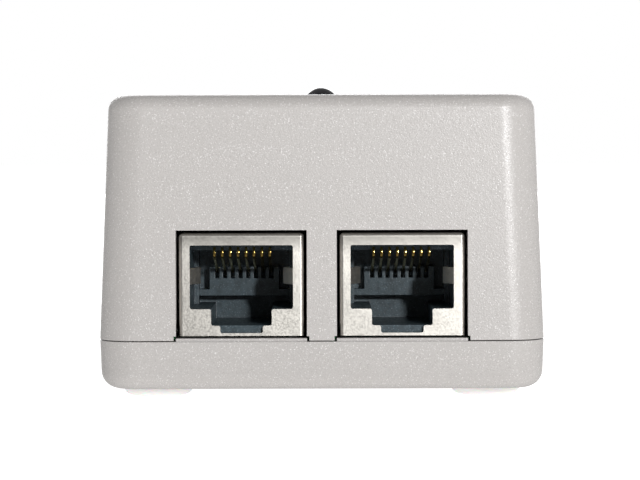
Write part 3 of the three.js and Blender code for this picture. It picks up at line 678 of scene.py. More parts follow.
class Solid:
    """A closed mesh that is cut, joined and rounded before it becomes a piece."""

    def __init__(self, mesh: bpy.types.Mesh) -> None:
        """Holds a closed mesh."""
        self.mesh = mesh

    @classmethod
    def lofted(cls, rings: Sequence[Sequence[Vector]], endless: bool = False) -> "Solid":
        """Joins rings of the same count into a closed skin.

        Args:
            rings: from one end to the other.
            endless: whether the last ring joins the first, instead of both ends being closed.

        Returns:
            The solid.
        """
        form = bmesh.new()
        loops = [[form.verts.new(point) for point in ring] for ring in rings]
        for lower, upper in zip(loops, loops[1:] + loops[:1] if endless else loops[1:]):
            for index in range(len(lower)):
                after = (index + 1) % len(lower)
                form.faces.new((lower[index], lower[after], upper[after], upper[index]))
        if not endless:
            form.faces.new(tuple(reversed(loops[0])))
            form.faces.new(tuple(loops[-1]))
        bmesh.ops.remove_doubles(form, verts=form.verts, dist=DOUBLE_POINT)
        bmesh.ops.recalc_face_normals(form, faces=form.faces)
        mesh = bpy.data.meshes.new("solid")
        form.to_mesh(mesh)
        form.free()
        return cls(mesh)

    @classmethod
    def block(cls, across: Span, deep: Span, up: Span) -> "Solid":
        """A box between its planes along X, Y and Z."""
        return cls.prism(rectangle(across, deep), Axis.Z, up)

    @classmethod
    def between(cls, low: Vector, high: Vector) -> "Solid":
        """A box between two of its corners."""
        return cls.block((low.x, high.x), (low.y, high.y), (low.z, high.z))

    @classmethod
    def prism(cls, outline: Outline, axis: Axis, span: Span) -> "Solid":
        """Draws an outline out along an axis.

        Args:
            outline: in the other two axes, in the order X, Y, Z.
            axis: the direction.
            span: from one end to the other.

        Returns:
            The solid.
        """
        rings = []
        for place in span:
            ring = []
            for point in outline:
                parts = list(point)
                parts.insert(axis.value, place)
                ring.append(Vector(parts))
            rings.append(ring)
        return cls.lofted(rings)

    @classmethod
    def turned(cls, profile: Outline, at: Vector, sides: int = 48) -> "Solid":
        """Turns a profile around an upright axis.

        Args:
            profile: radius and height pairs from the lower end to the upper.
            at: a place on the axis.
            sides: around the axis.

        Returns:
            The solid.
        """
        rings = []
        for radius, height in profile:
            wide = max(radius, LEAST_RADIUS)
            turn = [index * math.tau / sides for index in range(sides)]
            spots = [(at.x + wide * math.cos(angle), at.y + wide * math.sin(angle)) for angle in turn]
            rings.append([Vector((x, y, height)) for x, y in spots])
        return cls.lofted(rings)

    @classmethod
    def rod(cls, radius: float, up: Span, at: Vector, sides: int = 48) -> "Solid":
        """An upright cylinder between two heights."""
        return cls.turned([(radius, height) for height in up], at, sides)

    @classmethod
    def crossed(cls, at: Vector, long: float, narrow: float, up: Span) -> list["Solid"]:
        """Makes two bars that cross over an upright axis.

        Args:
            at: a place on the axis.
            long: the length of each bar.
            narrow: the width of each bar.
            up: from the bars' lower face to their upper.

        Returns:
            Both bars.
        """
        return [
            cls.block(around(at.x, wide), around(at.y, deep), up)
            for wide, deep in ((long, narrow), (narrow, long))
        ]

    @classmethod
    def swept(cls, path: Sequence[Vector], outline: Outline, side: Vector, ends: float = 0.7) -> "Solid":
        """Draws a section along a path that lies in one plane.

        Args:
            path: the middle of the section.
            outline: the section, first along side and then across the path.
            side: the plane's normal.
            ends: the size of the section at both ends, next to its full size.

        Returns:
            The solid.
        """
        rings = []
        for index, point in enumerate(path):
            tangent = (path[min(index + 1, len(path) - 1)] - path[max(index - 1, 0)]).normalized()
            across = side.cross(tangent).normalized()
            size = ends if index in (0, len(path) - 1) else 1
            rings.append([point + side * (size * u) + across * (size * v) for u, v in outline])
        return cls.lofted(rings)

    def combined(self, others: Sequence["Solid"], operation: str) -> "Solid":
        """Cuts or joins other solids.

        Args:
            others: which are used up.
            operation: DIFFERENCE or UNION.

        Returns:
            The result, as a new solid.
        """
        body = self.shown("body")
        tools = [other.shown("tool") for other in others]
        for tool in tools:
            modifier = body.modifiers.new("solid", "BOOLEAN")
            modifier.operation = operation
            modifier.object = tool
            modifier.solver = "MANIFOLD"
        result = Solid.baked(body)
        for used in (body, *tools):
            bpy.data.objects.remove(used)
        return result

    def minus(self, *others: "Solid") -> "Solid":
        """This solid with the others cut out of it."""
        return self.combined(others, "DIFFERENCE")

    def plus(self, *others: "Solid") -> "Solid":
        """This solid and the others as one."""
        return self.combined(others, "UNION")

    def rounded(self, radius: float, steps: int = 3, angle: float = SHARP_ANGLE) -> "Solid":
        """Rounds the edges that are sharper than an angle.

        Args:
            radius: of the rounding.
            steps: across it.
            angle: the least angle between two faces whose edge is rounded.

        Returns:
            The result, as a new solid.
        """
        body = self.shown("body")
        add_rounding(body, radius, steps, angle)
        result = Solid.baked(body)
        bpy.data.objects.remove(body)
        return result

    def shown(self, name: str) -> bpy.types.Object:
        """The solid as an object in the scene."""
        return in_scene(name, self.mesh)

    @staticmethod
    def baked(body: bpy.types.Object) -> "Solid":
        """A solid with the object's modifiers applied."""
        graph = bpy.context.evaluated_depsgraph_get()
        return Solid(bpy.data.meshes.new_from_object(body.evaluated_get(graph)))

    def piece(
        self, name: str, finish: Finish, replaced: Sequence[str] = (), body: Body = Body.CASE
    ) -> None:
        """Finishes the solid as a named piece of the injector.

        Args:
            name: of the piece.
            finish: of its surface.
            replaced: the frame's nodes that it stands for.
            body: that it moves with.
        """
        made = self.shown(name)
        self.mesh.name = name
        self.mesh.shade_smooth()
        self.mesh.set_sharp_from_angle(angle=SHARP_ANGLE)
        self.mesh.materials.clear()
        self.mesh.materials.append(finish.material())
        weighted = made.modifiers.new("even_shading", "WEIGHTED_NORMAL")
        weighted.keep_sharp = True
        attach(made, body.value)
        if replaced:
            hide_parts(*replaced)
        log.info("%s: %d faces, on %s", name, len(self.mesh.polygons), body.value)


def keep_node(name: str, finish: Finish, edge: float = 0) -> None:
    """Dresses a node of the frame whose shape is right.

    Args:
        name: of the node.
        finish: of its surface.
        edge: the radius of its edges, or 0.
    """
    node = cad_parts[name]
    node.data.materials.clear()
    node.data.materials.append(finish.material())
    if edge:
        add_rounding(node, edge, 2, SHARP_ANGLE)
    log.info("%s: kept from the frame", name)


def middle_of(node: str) -> Vector:
    """The middle of a node's box."""
    low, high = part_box(node)
    return (low + high) / 2


# --------------------------------------------------------------------------------------------------
# Case
# --------------------------------------------------------------------------------------------------


@dataclass
class CaseShell:
    """The drafted cover and the shallow tray that it stands on."""

    wall: float = 2.2 * MM
    cover_draft: float = math.radians(2.2)
    tray_draft: float = math.radians(2)
    corner_radius: float = 4.8 * MM
    top_radius: float = 1.9 * MM
    bottom_radius: float = 2.2 * MM
    inner_radius: float = 1 * MM
    seam_radius: float = 0.08 * MM
    seam_closing: float = 0.13 * MM
    cutout_gap: float = 0.4 * MM
    gap: float = 0.3 * MM
    lip_thickness: float = 1 * MM
    lip_height: float = 1.8 * MM
    tongue_height: float = 0.4 * MM
    tongue_setback: float = 0.2 * MM
    post_radius: float = 3 * MM
    boss_wall: float = 1.5 * MM
    led_gap: float = 0.25 * MM
    foot_recess: float = 0.6 * MM
    floor: float = 2 * MM
    edge_round: float = 0.09 * MM
    least_corner: float = 0.3 * MM
    seam_gap: float = 0.25 * MM
    lens_radius: float = 2.5 * MM
    post_start: float = 4.4 * MM
    boss_end: float = 5.55 * MM
    shank_radius: float = 1.6 * MM
    shank_top: float = 12 * MM
    head_radius: float = 2.8 * MM
    head_depth: float = 1.9 * MM
    foot_radius: float = 4.8 * MM
    label_corner: float = 1.5 * MM
    corner_steps: int = 14
    edge_steps: int = 8
    seam_steps: int = 3

    def __post_init__(self) -> None:
        """Reads the places of both halves and what goes through their walls."""
        self.cover_low, self.cover_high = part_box("upper_cover")
        self.tray_low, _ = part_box("base_tray")
        self.width = self.cover_high.x - self.cover_low.x
        self.length = self.cover_high.y - self.cover_low.y
        self.seam = self.cover_low.z - self.seam_gap
        self.cover_bottom = self.cover_low.z - self.seam_closing
        self.connectors = ["data_jack_shield", "power_jack_shield", "mains_inlet_body"]
        self.screws = ["case_screw_" + corner for corner in CORNERS]

    def drafted(self, inset: float, corner: float, levels: Sequence[Span], draft: float) -> Solid:
        """Lofts a drafted block.

        Args:
            inset: of its widest section from the case's side.
            corner: the radius of its upright corners there.
            levels: how far each ring is drawn in by its edge, and the ring's height, widest end first.
            draft: how far the sides lean.

        Returns:
            The solid.
        """
        start = levels[0][1]
        rings = []
        for drawn_in, height in levels:
            lean = inset + drawn_in + math.tan(draft) * abs(height - start)
            radius = max(self.least_corner, corner - drawn_in)
            wide, long = self.width - 2 * lean, self.length - 2 * lean
            rings.append(plan_ring(wide, long, radius, height, self.corner_steps))
        return Solid.lofted(rings)

    def edge_levels(self, seam: float, end: float, radius: float, seam_radius: float) -> list[Span]:
        """The rings from a seam edge to a rounded far edge.

        Args:
            seam: the height of the seam's edge.
            end: the height of the far face.
            radius: of the far edge.
            seam_radius: of the seam's edge.

        Returns:
            How far each ring is drawn in, and its height.
        """
        way = math.copysign(1, end - seam)
        levels = []
        for sine, cosine in quarter_turn(self.seam_steps):
            levels.append((seam_radius * (1 - sine), seam + way * seam_radius * (1 - cosine)))
        for sine, cosine in quarter_turn(self.edge_steps):
            levels.append((radius * (1 - cosine), end - way * radius * (1 - sine)))
        return levels

    def across_wall(self, node: str) -> Span:
        """The span through the wall that a connector stands in."""
        side = math.copysign(1, middle_of(node).y)
        return span(side * (self.length / 2 - 2 * self.wall), side * (self.length / 2 + BEYOND))

    def slot_width(self, node: str) -> Span:
        """The width of the slot that a connector stands in."""
        low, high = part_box(node)
        return around(middle_of(node).x, high.x - low.x + 2 * self.cutout_gap)

    def cover(self) -> None:
        """Builds the cover, with its slots, screw posts and the indicator's hole."""
        bottom, top = self.cover_bottom, self.cover_high.z
        levels = self.edge_levels(bottom, top, self.top_radius, self.seam_radius)
        shell = self.drafted(0, self.corner_radius, levels, self.cover_draft)
        inside = [(0, bottom - BEYOND), *self.edge_levels(bottom, top - self.wall, self.inner_radius, 0)[1:]]
        hollow = self.drafted(self.wall, self.corner_radius - self.wall, inside, self.cover_draft)
        rebate_inset = self.wall - self.lip_thickness - self.gap
        rebate = self.straight(rebate_inset, (bottom - BEYOND, self.seam + self.lip_height + self.gap))
        tongue_top = self.seam + self.tongue_height + self.gap
        slots = []
        for node in self.connectors:
            wide = self.slot_width(node)
            wider = (wide[0] - self.gap, wide[1] + self.gap)
            deep = self.across_wall(node)
            slots.append(Solid.block(wide, deep, (bottom - BEYOND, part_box(node)[1].z + self.cutout_gap)))
            slots.append(Solid.block(wider, deep, (bottom - BEYOND, tongue_top)))
        through_top = (top - 2 * self.wall, top + BEYOND)
        hole = Solid.rod(self.lens_radius + self.led_gap, through_top, middle_of("led_lens"))
        posts = []
        pilots = []
        for screw in self.screws:
            at = middle_of(screw)
            low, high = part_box(screw)
            posts.append(Solid.rod(self.post_radius, (low.z + self.post_start, top - self.wall / 2), at, 32))
            pilots.append(Solid.rod(self.shank_radius, (bottom - BEYOND, high.z + self.gap), at, 24))
        walls = shell.minus(hollow, rebate, *slots, hole)
        whole = walls.plus(*posts).minus(*pilots).rounded(self.edge_round, 2, MOULDED_ANGLE)
        whole.piece("cover_shell", CASE_PLASTIC, ["upper_cover"])

    def tray(self) -> None:
        """Builds the tray, with its lip, tongues, bosses and the recesses of its underside."""
        bottom = self.tray_low.z
        levels = self.edge_levels(self.seam, bottom, self.bottom_radius, self.seam_radius)
        shell = self.drafted(0, self.corner_radius, levels, self.tray_draft)
        lip_inset = self.wall - self.lip_thickness
        lip = self.straight(lip_inset, (self.seam - BEYOND, self.seam + self.lip_height))
        hollow = self.straight(self.wall, (bottom + self.floor, self.seam + 2 * self.lip_height))
        past_lip = (self.seam, self.seam + 2 * self.lip_height)
        breaks = []
        tongues = []
        for node in self.connectors:
            wide = self.slot_width(node)
            clear = (wide[0] - self.cutout_gap - self.gap, wide[1] + self.cutout_gap + self.gap)
            breaks.append(Solid.block(clear, self.across_wall(node), past_lip))
            side = math.copysign(1, middle_of(node).y)
            deep = span(side * (self.length / 2 - self.tongue_setback), side * (self.length / 2 - self.wall))
            tongues.append(Solid.block(wide, deep, (self.seam - BEYOND, self.seam + self.tongue_height)))
        web = around(0, 2 * abs(middle_of("data_jack_shield").x))
        breaks.append(Solid.block(web, self.across_wall("data_jack_shield"), past_lip))
        bosses = []
        holes = []
        for screw in self.screws:
            at = middle_of(screw)
            low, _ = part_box(screw)
            boss = self.head_radius + self.boss_wall
            bosses.append(Solid.rod(boss, (bottom + BEYOND, low.z + self.boss_end), at, 40))
            for radius, ceiling, sides in (
                (self.head_radius, low.z + self.head_depth, 40),
                (self.shank_radius, self.shank_top, 24),
                (self.foot_radius, bottom + self.foot_recess, 48),
            ):
                holes.append(Solid.rod(radius, (bottom - BEYOND, ceiling), at, sides))
        label_low, label_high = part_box("rating_label")
        outline = rounded_plan(label_low, label_high, -self.gap, self.label_corner)
        holes.append(Solid.prism(outline, Axis.Z, (bottom - BEYOND, label_high.z + self.gap)))
        walls = shell.plus(lip).minus(hollow, *breaks)
        whole = walls.plus(*tongues, *bosses).minus(*holes).rounded(self.edge_round, 2, MOULDED_ANGLE)
        whole.piece("tray_shell", CASE_PLASTIC, ["base_tray"])

    def straight(self, inset: float, up: Span) -> Solid:
        """Makes a block with upright sides.

        Args:
            inset: from the case's side.
            up: from its lower face to its upper.

        Returns:
            The solid.
        """
        wide, long = self.width - 2 * inset, self.length - 2 * inset
        corner = self.corner_radius - inset
        return Solid.lofted([plan_ring(wide, long, corner, height, self.corner_steps) for height in up])

    def build(self) -> None:
        """Builds both halves."""
        self.cover()
        self.tray()


@dataclass
class FootAndScrew:
    """A rubber foot, and the case screw hidden behind it."""

    corner: str
    rim: float = 1.1 * MM
    dish_radius: float = 2.6 * MM
    dish_depth: float = 0.25 * MM
    rim_steps: int = 8
    top_edge: float = 0.15 * MM
    head_face: float = 2.2 * MM
    head_radius: float = 2.5 * MM
    head_edge: float = 0.4 * MM
    head_height: float = 1.6 * MM
    core_radius: float = 1.3 * MM
    plain_end: float = 2 * MM
    tip_length: float = 1.6 * MM
    thread_pitch: float = 0.9 * MM
    thread_depth: float = 0.25 * MM
    cross_width: float = 0.7 * MM
    cross_reach: float = 1.4 * MM
    cross_depth: float = 0.9 * MM

    def foot(self) -> None:
        """Builds the foot, with a rounded rim and a shallow dish below."""
        node = "foot_" + self.corner
        low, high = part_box(node)
        at = middle_of(node)
        radius = (high.x - low.x) / 2
        profile = [(0, low.z + self.dish_depth), (self.dish_radius, low.z + self.dish_depth)]
        profile.append((self.dish_radius + self.dish_depth, low.z))
        for sine, cosine in quarter_turn(self.rim_steps):
            profile.append((radius - self.rim + self.rim * sine, low.z + self.rim * (1 - cosine)))
        profile += [(radius, high.z - self.top_edge), (radius - self.top_edge, high.z), (0, high.z)]
        Solid.turned(profile, at, 64).piece("bumper_" + self.corner, CLEAR_RUBBER, [node])

    def screw(self) -> None:
        """Builds the screw, with its thread and the cross in its head."""
        node = "case_screw_" + self.corner
        low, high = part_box(node)
        at = middle_of(node)
        head_top = low.z + self.head_height
        core = self.core_radius
        profile = [
            (0, low.z),
            (self.head_face, low.z),
            (self.head_radius, low.z + self.head_edge),
            (self.head_radius, head_top),
            (core, head_top),
        ]
        height = head_top + self.thread_pitch
        while height < high.z - self.plain_end:
            profile.append((core - self.thread_depth, height))
            profile.append((core, height + self.thread_pitch / 2))
            height += self.thread_pitch
        profile += [(core - self.thread_depth, high.z - self.tip_length), (0, high.z)]
        up = (low.z - BEYOND, low.z + self.cross_depth)
        arms = Solid.crossed(at, 2 * self.cross_reach, self.cross_width, up)
        whole = Solid.turned(profile, at, 40).minus(*arms)
        whole.piece("screw_" + self.corner, SCREW_STEEL, [node])

    def build(self) -> None:
        """Builds the foot and its screw."""
        self.foot()
        self.screw()


@dataclass
class RatingLabel:
    """The blank film in the tray's underside."""

    corner_radius: float = 1.3 * MM
    frame_inset: float = 1.2 * MM
    frame_width: float = 0.3 * MM
    frame_depth: float = 0.04 * MM
    frame_start: float = 0.1 * MM

    def build(self) -> None:
        """Builds the film, with an embossed frame line around its edge."""
        low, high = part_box("rating_label")
        film = Solid.prism(rounded_plan(low, high, 0, self.corner_radius), Axis.Z, (low.z, high.z))
        rings = []
        for times, inset in ((1, self.frame_inset), (2, self.frame_inset + self.frame_width)):
            up = (low.z - times * self.frame_start, low.z + times * self.frame_depth)
            rings.append(Solid.prism(rounded_plan(low, high, inset, self.corner_radius), Axis.Z, up))
        groove = rings[0].minus(rings[1])
        film.minus(groove).piece("label_film", LABEL_FILM, ["rating_label"])


# --------------------------------------------------------------------------------------------------
# Sockets
# --------------------------------------------------------------------------------------------------


@dataclass
class JackSocket:
    """A shielded 8P8C socket: its shield, moulded body and eight spring contacts."""

    kind: str
    contact_body: Body
    sheet: float = 0.35 * MM
    fold: float = 0.45 * MM
    window_width: float = 13.1 * MM
    window_drop: float = 1.5 * MM
    window_height: float = 8.1 * MM
    latch_width: float = 7.7 * MM
    latch_height: float = 2.1 * MM
    key_width: float = 5.4 * MM
    key_height: float = 0.95 * MM
    window_corner: float = 0.3 * MM
    plug_width: float = 11.9 * MM
    plug_depth: float = 12.2 * MM
    latch_depth: float = 15.2 * MM
    undercut: float = 1 * MM
    roof_drop: float = 0.8 * MM
    roof_setback: float = 4.3 * MM
    side_setback: float = 11.4 * MM
    comb_depth: float = 2 * MM
    comb_width: float = 9.2 * MM
    comb_drop: float = 2.5 * MM
    comb_notch: float = 1.5 * MM
    comb_slot: float = 0.56 * MM
    ledge_height: float = 1.85 * MM
    finger_height: float = 2.1 * MM
    finger_reach: float = 1.3 * MM
    finger_length: float = 4.8 * MM
    finger_drop: float = 2.9 * MM
    finger_bend: float = 0.25 * MM
    finger_round: float = 0.06 * MM
    contact_count: int = 8
    contact_bend: float = 0.6 * MM
    contact_slope: float = math.radians(14)
    contact_length: float = 9.6 * MM
    contact_section: float = 0.35 * MM
    contact_round: float = 0.1 * MM
    bend_steps: int = 14
    leg_steps: int = 6
    mould_round: float = 0.07 * MM

    def __post_init__(self) -> None:
        """Reads the socket's place and works out the heights in it."""
        self.shield_node = self.kind + "_jack_shield"
        self.low, self.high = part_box(self.shield_node)
        self.x = middle_of(self.shield_node).x
        self.face = self.low.y
        self.ceiling = self.high.z - self.window_drop
        self.sill = self.ceiling - self.window_height
        self.latch_sill = self.sill - self.latch_height
        self.roof = self.ceiling - self.roof_drop
        self.contact_nodes = [f"{self.kind}_contact_{index + 1}" for index in range(self.contact_count)]

    def window_outline(self) -> Outline:
        """Draws the stepped outline of the plug's window.

        Returns:
            The outline, in X and Z.
        """
        key_sill = self.latch_sill - self.key_height
        right = [
            (self.key_width / 2, key_sill),
            (self.key_width / 2, self.latch_sill),
            (self.latch_width / 2, self.latch_sill),
            (self.latch_width / 2, self.sill),
            (self.window_width / 2, self.sill),
            (self.window_width / 2, self.ceiling),
        ]
        left = [(-across, up) for across, up in reversed(right)]
        return rounded_outline([(self.x + across, up) for across, up in right + left], self.window_corner)

    def finger(self, side: int) -> Solid:
        """Builds one spring finger of the window.

        Args:
            side: -1 for the left finger and 1 for the right.

        Returns:
            The solid.
        """
        root = self.window_width / 2
        tip = root - self.finger_reach
        end = root - self.finger_reach / 3
        outline = [
            (root, 0),
            (root + self.sheet, 0),
            (tip + self.sheet, self.finger_length / 2),
            (end, self.finger_length),
            (end - self.sheet, self.finger_length),
            (tip, self.finger_length / 2),
        ]
        placed = [(self.x + side * across, self.face + deep) for across, deep in outline]
        top = self.ceiling - self.finger_drop
        outline = rounded_outline(placed, self.finger_bend, 4)
        strip = Solid.prism(outline, Axis.Z, (top - self.finger_height, top))
        return strip.rounded(self.finger_round, 2, PRESSED_ANGLE)

    def shield(self) -> None:
        """Builds the folded shield, open below, with its window and fingers."""
        outer_up = (self.low.z - self.fold, self.high.z)
        outer = Solid.block((self.low.x, self.high.x), (self.low.y, self.high.y), outer_up)
        folded = outer.rounded(self.fold, 5)
        inner = Solid.block(
            (self.low.x + self.sheet, self.high.x - self.sheet),
            (self.low.y + self.sheet, self.high.y - self.sheet),
            (self.low.z - 2 * self.fold, self.high.z - self.sheet),
        ).rounded(self.fold - self.sheet, 3)
        below = Solid.block(
            (self.low.x - self.fold, self.high.x + self.fold),
            (self.low.y - self.fold, self.high.y + self.fold),
            (self.low.z - 3 * self.fold, self.low.z),
        )
        plate = (self.face - BEYOND, self.face + 2 * self.sheet)
        window = Solid.prism(self.window_outline(), Axis.Y, plate)
        whole = folded.minus(inner, below, window).plus(self.finger(-1), self.finger(1))
        whole.piece(self.kind + "_shield_sheet", SHIELD_NICKEL, [self.shield_node])

    def insulator(self) -> None:
        """Builds the moulded body, with the plug's cavity, the latch's channel and the comb."""
        node = self.kind + "_jack_insulator"
        body = Solid.between(*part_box(node))
        ahead = self.face - BEYOND
        comb_front = self.face + self.plug_depth
        comb_top = self.roof - self.comb_drop
        behind = (comb_front - BEYOND, comb_front + self.comb_depth)
        ledge = self.sill + self.ledge_height
        to_latch = (ahead, self.face + self.latch_depth)
        side_width = (self.plug_width - self.comb_width) / 2
        side_place = (self.comb_width + side_width) / 2
        window = around(self.x, self.window_width)
        plug = around(self.x, self.plug_width)
        cuts = [
            (window, (ahead, self.face + self.roof_setback), (self.sill, self.ceiling)),
            (window, (ahead, self.face + self.side_setback), (self.sill, self.roof)),
            (plug, (ahead, comb_front), (self.sill, self.roof)),
            (around(self.x, self.latch_width), to_latch, (self.latch_sill, self.sill + BEYOND)),
            (plug, behind, (comb_top, self.roof)),
            (plug, to_latch, (self.sill, self.sill + self.undercut)),
        ]
        for side in (-1, 1):
            cuts.append((around(self.x + side * side_place, side_width), behind, (ledge, self.roof)))
        for contact in self.contact_nodes:
            slot = around(middle_of(contact).x, self.comb_slot)
            cuts.append((slot, behind, (comb_top - self.comb_notch, self.roof)))
        whole = body.minus(*(Solid.block(*cut) for cut in cuts)).rounded(self.mould_round, 2, MOULDED_ANGLE)
        whole.piece(self.kind + "_socket_body", SOCKET_PLASTIC, [node])

    def contact(self, index: int) -> None:
        """Builds one spring wire, from the roof's nose round its bend and down into the comb.

        Args:
            index: of the contact, from 0 at the left.
        """
        node = self.contact_nodes[index]
        low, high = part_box(node)
        x = middle_of(node).x
        half = self.contact_section / 2
        centre = Vector((x, low.y + self.contact_bend + half, high.z - self.contact_bend - half))
        end = 1.5 * math.pi - self.contact_slope
        path = []
        for step in range(self.bend_steps + 1):
            angle = math.pi / 2 + (end - math.pi / 2) * step / self.bend_steps
            path.append(centre + self.contact_bend * Vector((0, math.cos(angle), math.sin(angle))))
        along = Vector((0, math.cos(self.contact_slope), -math.sin(self.contact_slope)))
        leg = [self.contact_length * step / self.leg_steps for step in range(1, self.leg_steps + 1)]
        path += [path[self.bend_steps] + along * length for length in leg]
        section = rounded_outline(rectangle((-half, half), (-half, half)), self.contact_round, 3)
        wire = Solid.swept(path, section, Vector((1, 0, 0)))
        wire.piece(f"{self.kind}_wire_{index + 1}", CONTACT_GOLD, [node], self.contact_body)

    def build(self) -> None:
        """Builds the whole socket."""
        self.shield()
        self.insulator()
        for index in range(self.contact_count):
            self.contact(index)


# --------------------------------------------------------------------------------------------------
# Mains inlet and indicator
# --------------------------------------------------------------------------------------------------


@dataclass
class MainsInlet:
    """The appliance inlet in the back wall, with its three pins."""

    cavity_width: float = 24.2 * MM
    cavity_height: float = 16.5 * MM
    cavity_depth: float = 16 * MM
    chamfer: float = 4.5 * MM
    cavity_corner: float = 0.9 * MM
    edge: float = 0.35 * MM
    gap: float = 0.3 * MM
    pin_corner: float = 0.5 * MM
    pin_round: float = 0.3 * MM
    pin_names: tuple[str, ...] = ("line_pin", "neutral_pin", "earth_pin")

    def housing(self) -> None:
        """Builds the housing and its keyed cavity."""
        low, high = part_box("mains_inlet_body")
        middle = middle_of("mains_inlet_body")
        half_width = self.cavity_width / 2
        half_height = self.cavity_height / 2
        corners = [
            (-half_width, -half_height),
            (half_width, -half_height),
            (half_width, half_height - self.chamfer),
            (half_width - self.chamfer, half_height),
            (-half_width + self.chamfer, half_height),
            (-half_width, half_height - self.chamfer),
        ]
        placed = [(middle.x + across, middle.z + up) for across, up in corners]
        deep = (high.y - self.cavity_depth, high.y + BEYOND)
        cavity = Solid.prism(rounded_outline(placed, self.cavity_corner), Axis.Y, deep)
        slots = []
        for name in self.pin_names:
            pin_low, pin_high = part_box(name)
            wide = (pin_low.x - self.gap, pin_high.x + self.gap)
            tall = (pin_low.z - self.gap, pin_high.z + self.gap)
            slots.append(Solid.block(wide, (low.y - BEYOND, high.y - BEYOND), tall))
        whole = Solid.between(low, high).minus(cavity, *slots).rounded(self.edge, 3, MOULDED_ANGLE)
        whole.piece("inlet_housing", INLET_PLASTIC, ["mains_inlet_body"])

    def pin(self, name: str) -> None:
        """Builds one blade pin with a tapered, rounded tip.

        Args:
            name: of the pin's node.
        """
        low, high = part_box(name)
        middle = middle_of(name)
        taper = (high.x - low.x) / 3
        outline = [
            (low.x, low.y),
            (high.x, low.y),
            (high.x, high.y - 2 * taper),
            (middle.x + taper / 2, high.y),
            (middle.x - taper / 2, high.y),
            (low.x, high.y - 2 * taper),
        ]
        blade = Solid.prism(rounded_outline(outline, self.pin_corner), Axis.Z, (low.z, high.z))
        whole = blade.rounded(self.pin_round, 3, PRESSED_ANGLE)
        whole.piece(name + "_blade", PIN_NICKEL, [name])

    def build(self) -> None:
        """Builds the housing and its pins."""
        self.housing()
        for name in self.pin_names:
            self.pin(name)


@dataclass
class Indicator:
    """The dark indicator lens, on its spacer and leads."""

    rim: float = 0.4 * MM
    rim_height: float = 1 * MM
    bore: float = 1.92 * MM
    spacer_round: float = 0.25 * MM
    lead_round: float = 0.06 * MM
    dome_steps: int = 14

    def build(self) -> None:
        """Builds the lens and the spacer, and dresses the leads."""
        low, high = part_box("led_lens")
        at = middle_of("led_lens")
        radius = (high.x - low.x) / 2 - self.rim
        profile = [(0, low.z), (radius + self.rim, low.z), (radius + self.rim, low.z + self.rim_height)]
        profile.append((radius, low.z + self.rim_height))
        for sine, cosine in quarter_turn(self.dome_steps)[:-1]:
            profile.append((radius * cosine, high.z - radius + radius * sine))
        profile.append((0, high.z))
        Solid.turned(profile, at, 64).piece("lens_dome", SMOKED_LENS, ["led_lens"])
        stem_low, stem_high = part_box("led_spacer")
        outer = (stem_high.x - stem_low.x) / 2
        tube = Solid.rod(outer, (stem_low.z, stem_high.z), at)
        bore = Solid.rod(self.bore, (stem_low.z - BEYOND, stem_high.z + BEYOND), at)
        whole = tube.minus(bore).rounded(self.spacer_round, 3, PRESSED_ANGLE)
        whole.piece("spacer_tube", SPACER_NYLON, ["led_spacer"])
        for lead in ("led_anode", "led_cathode"):
            keep_node(lead, TINNED_WIRE, self.lead_round)


# --------------------------------------------------------------------------------------------------
# Supply
# --------------------------------------------------------------------------------------------------


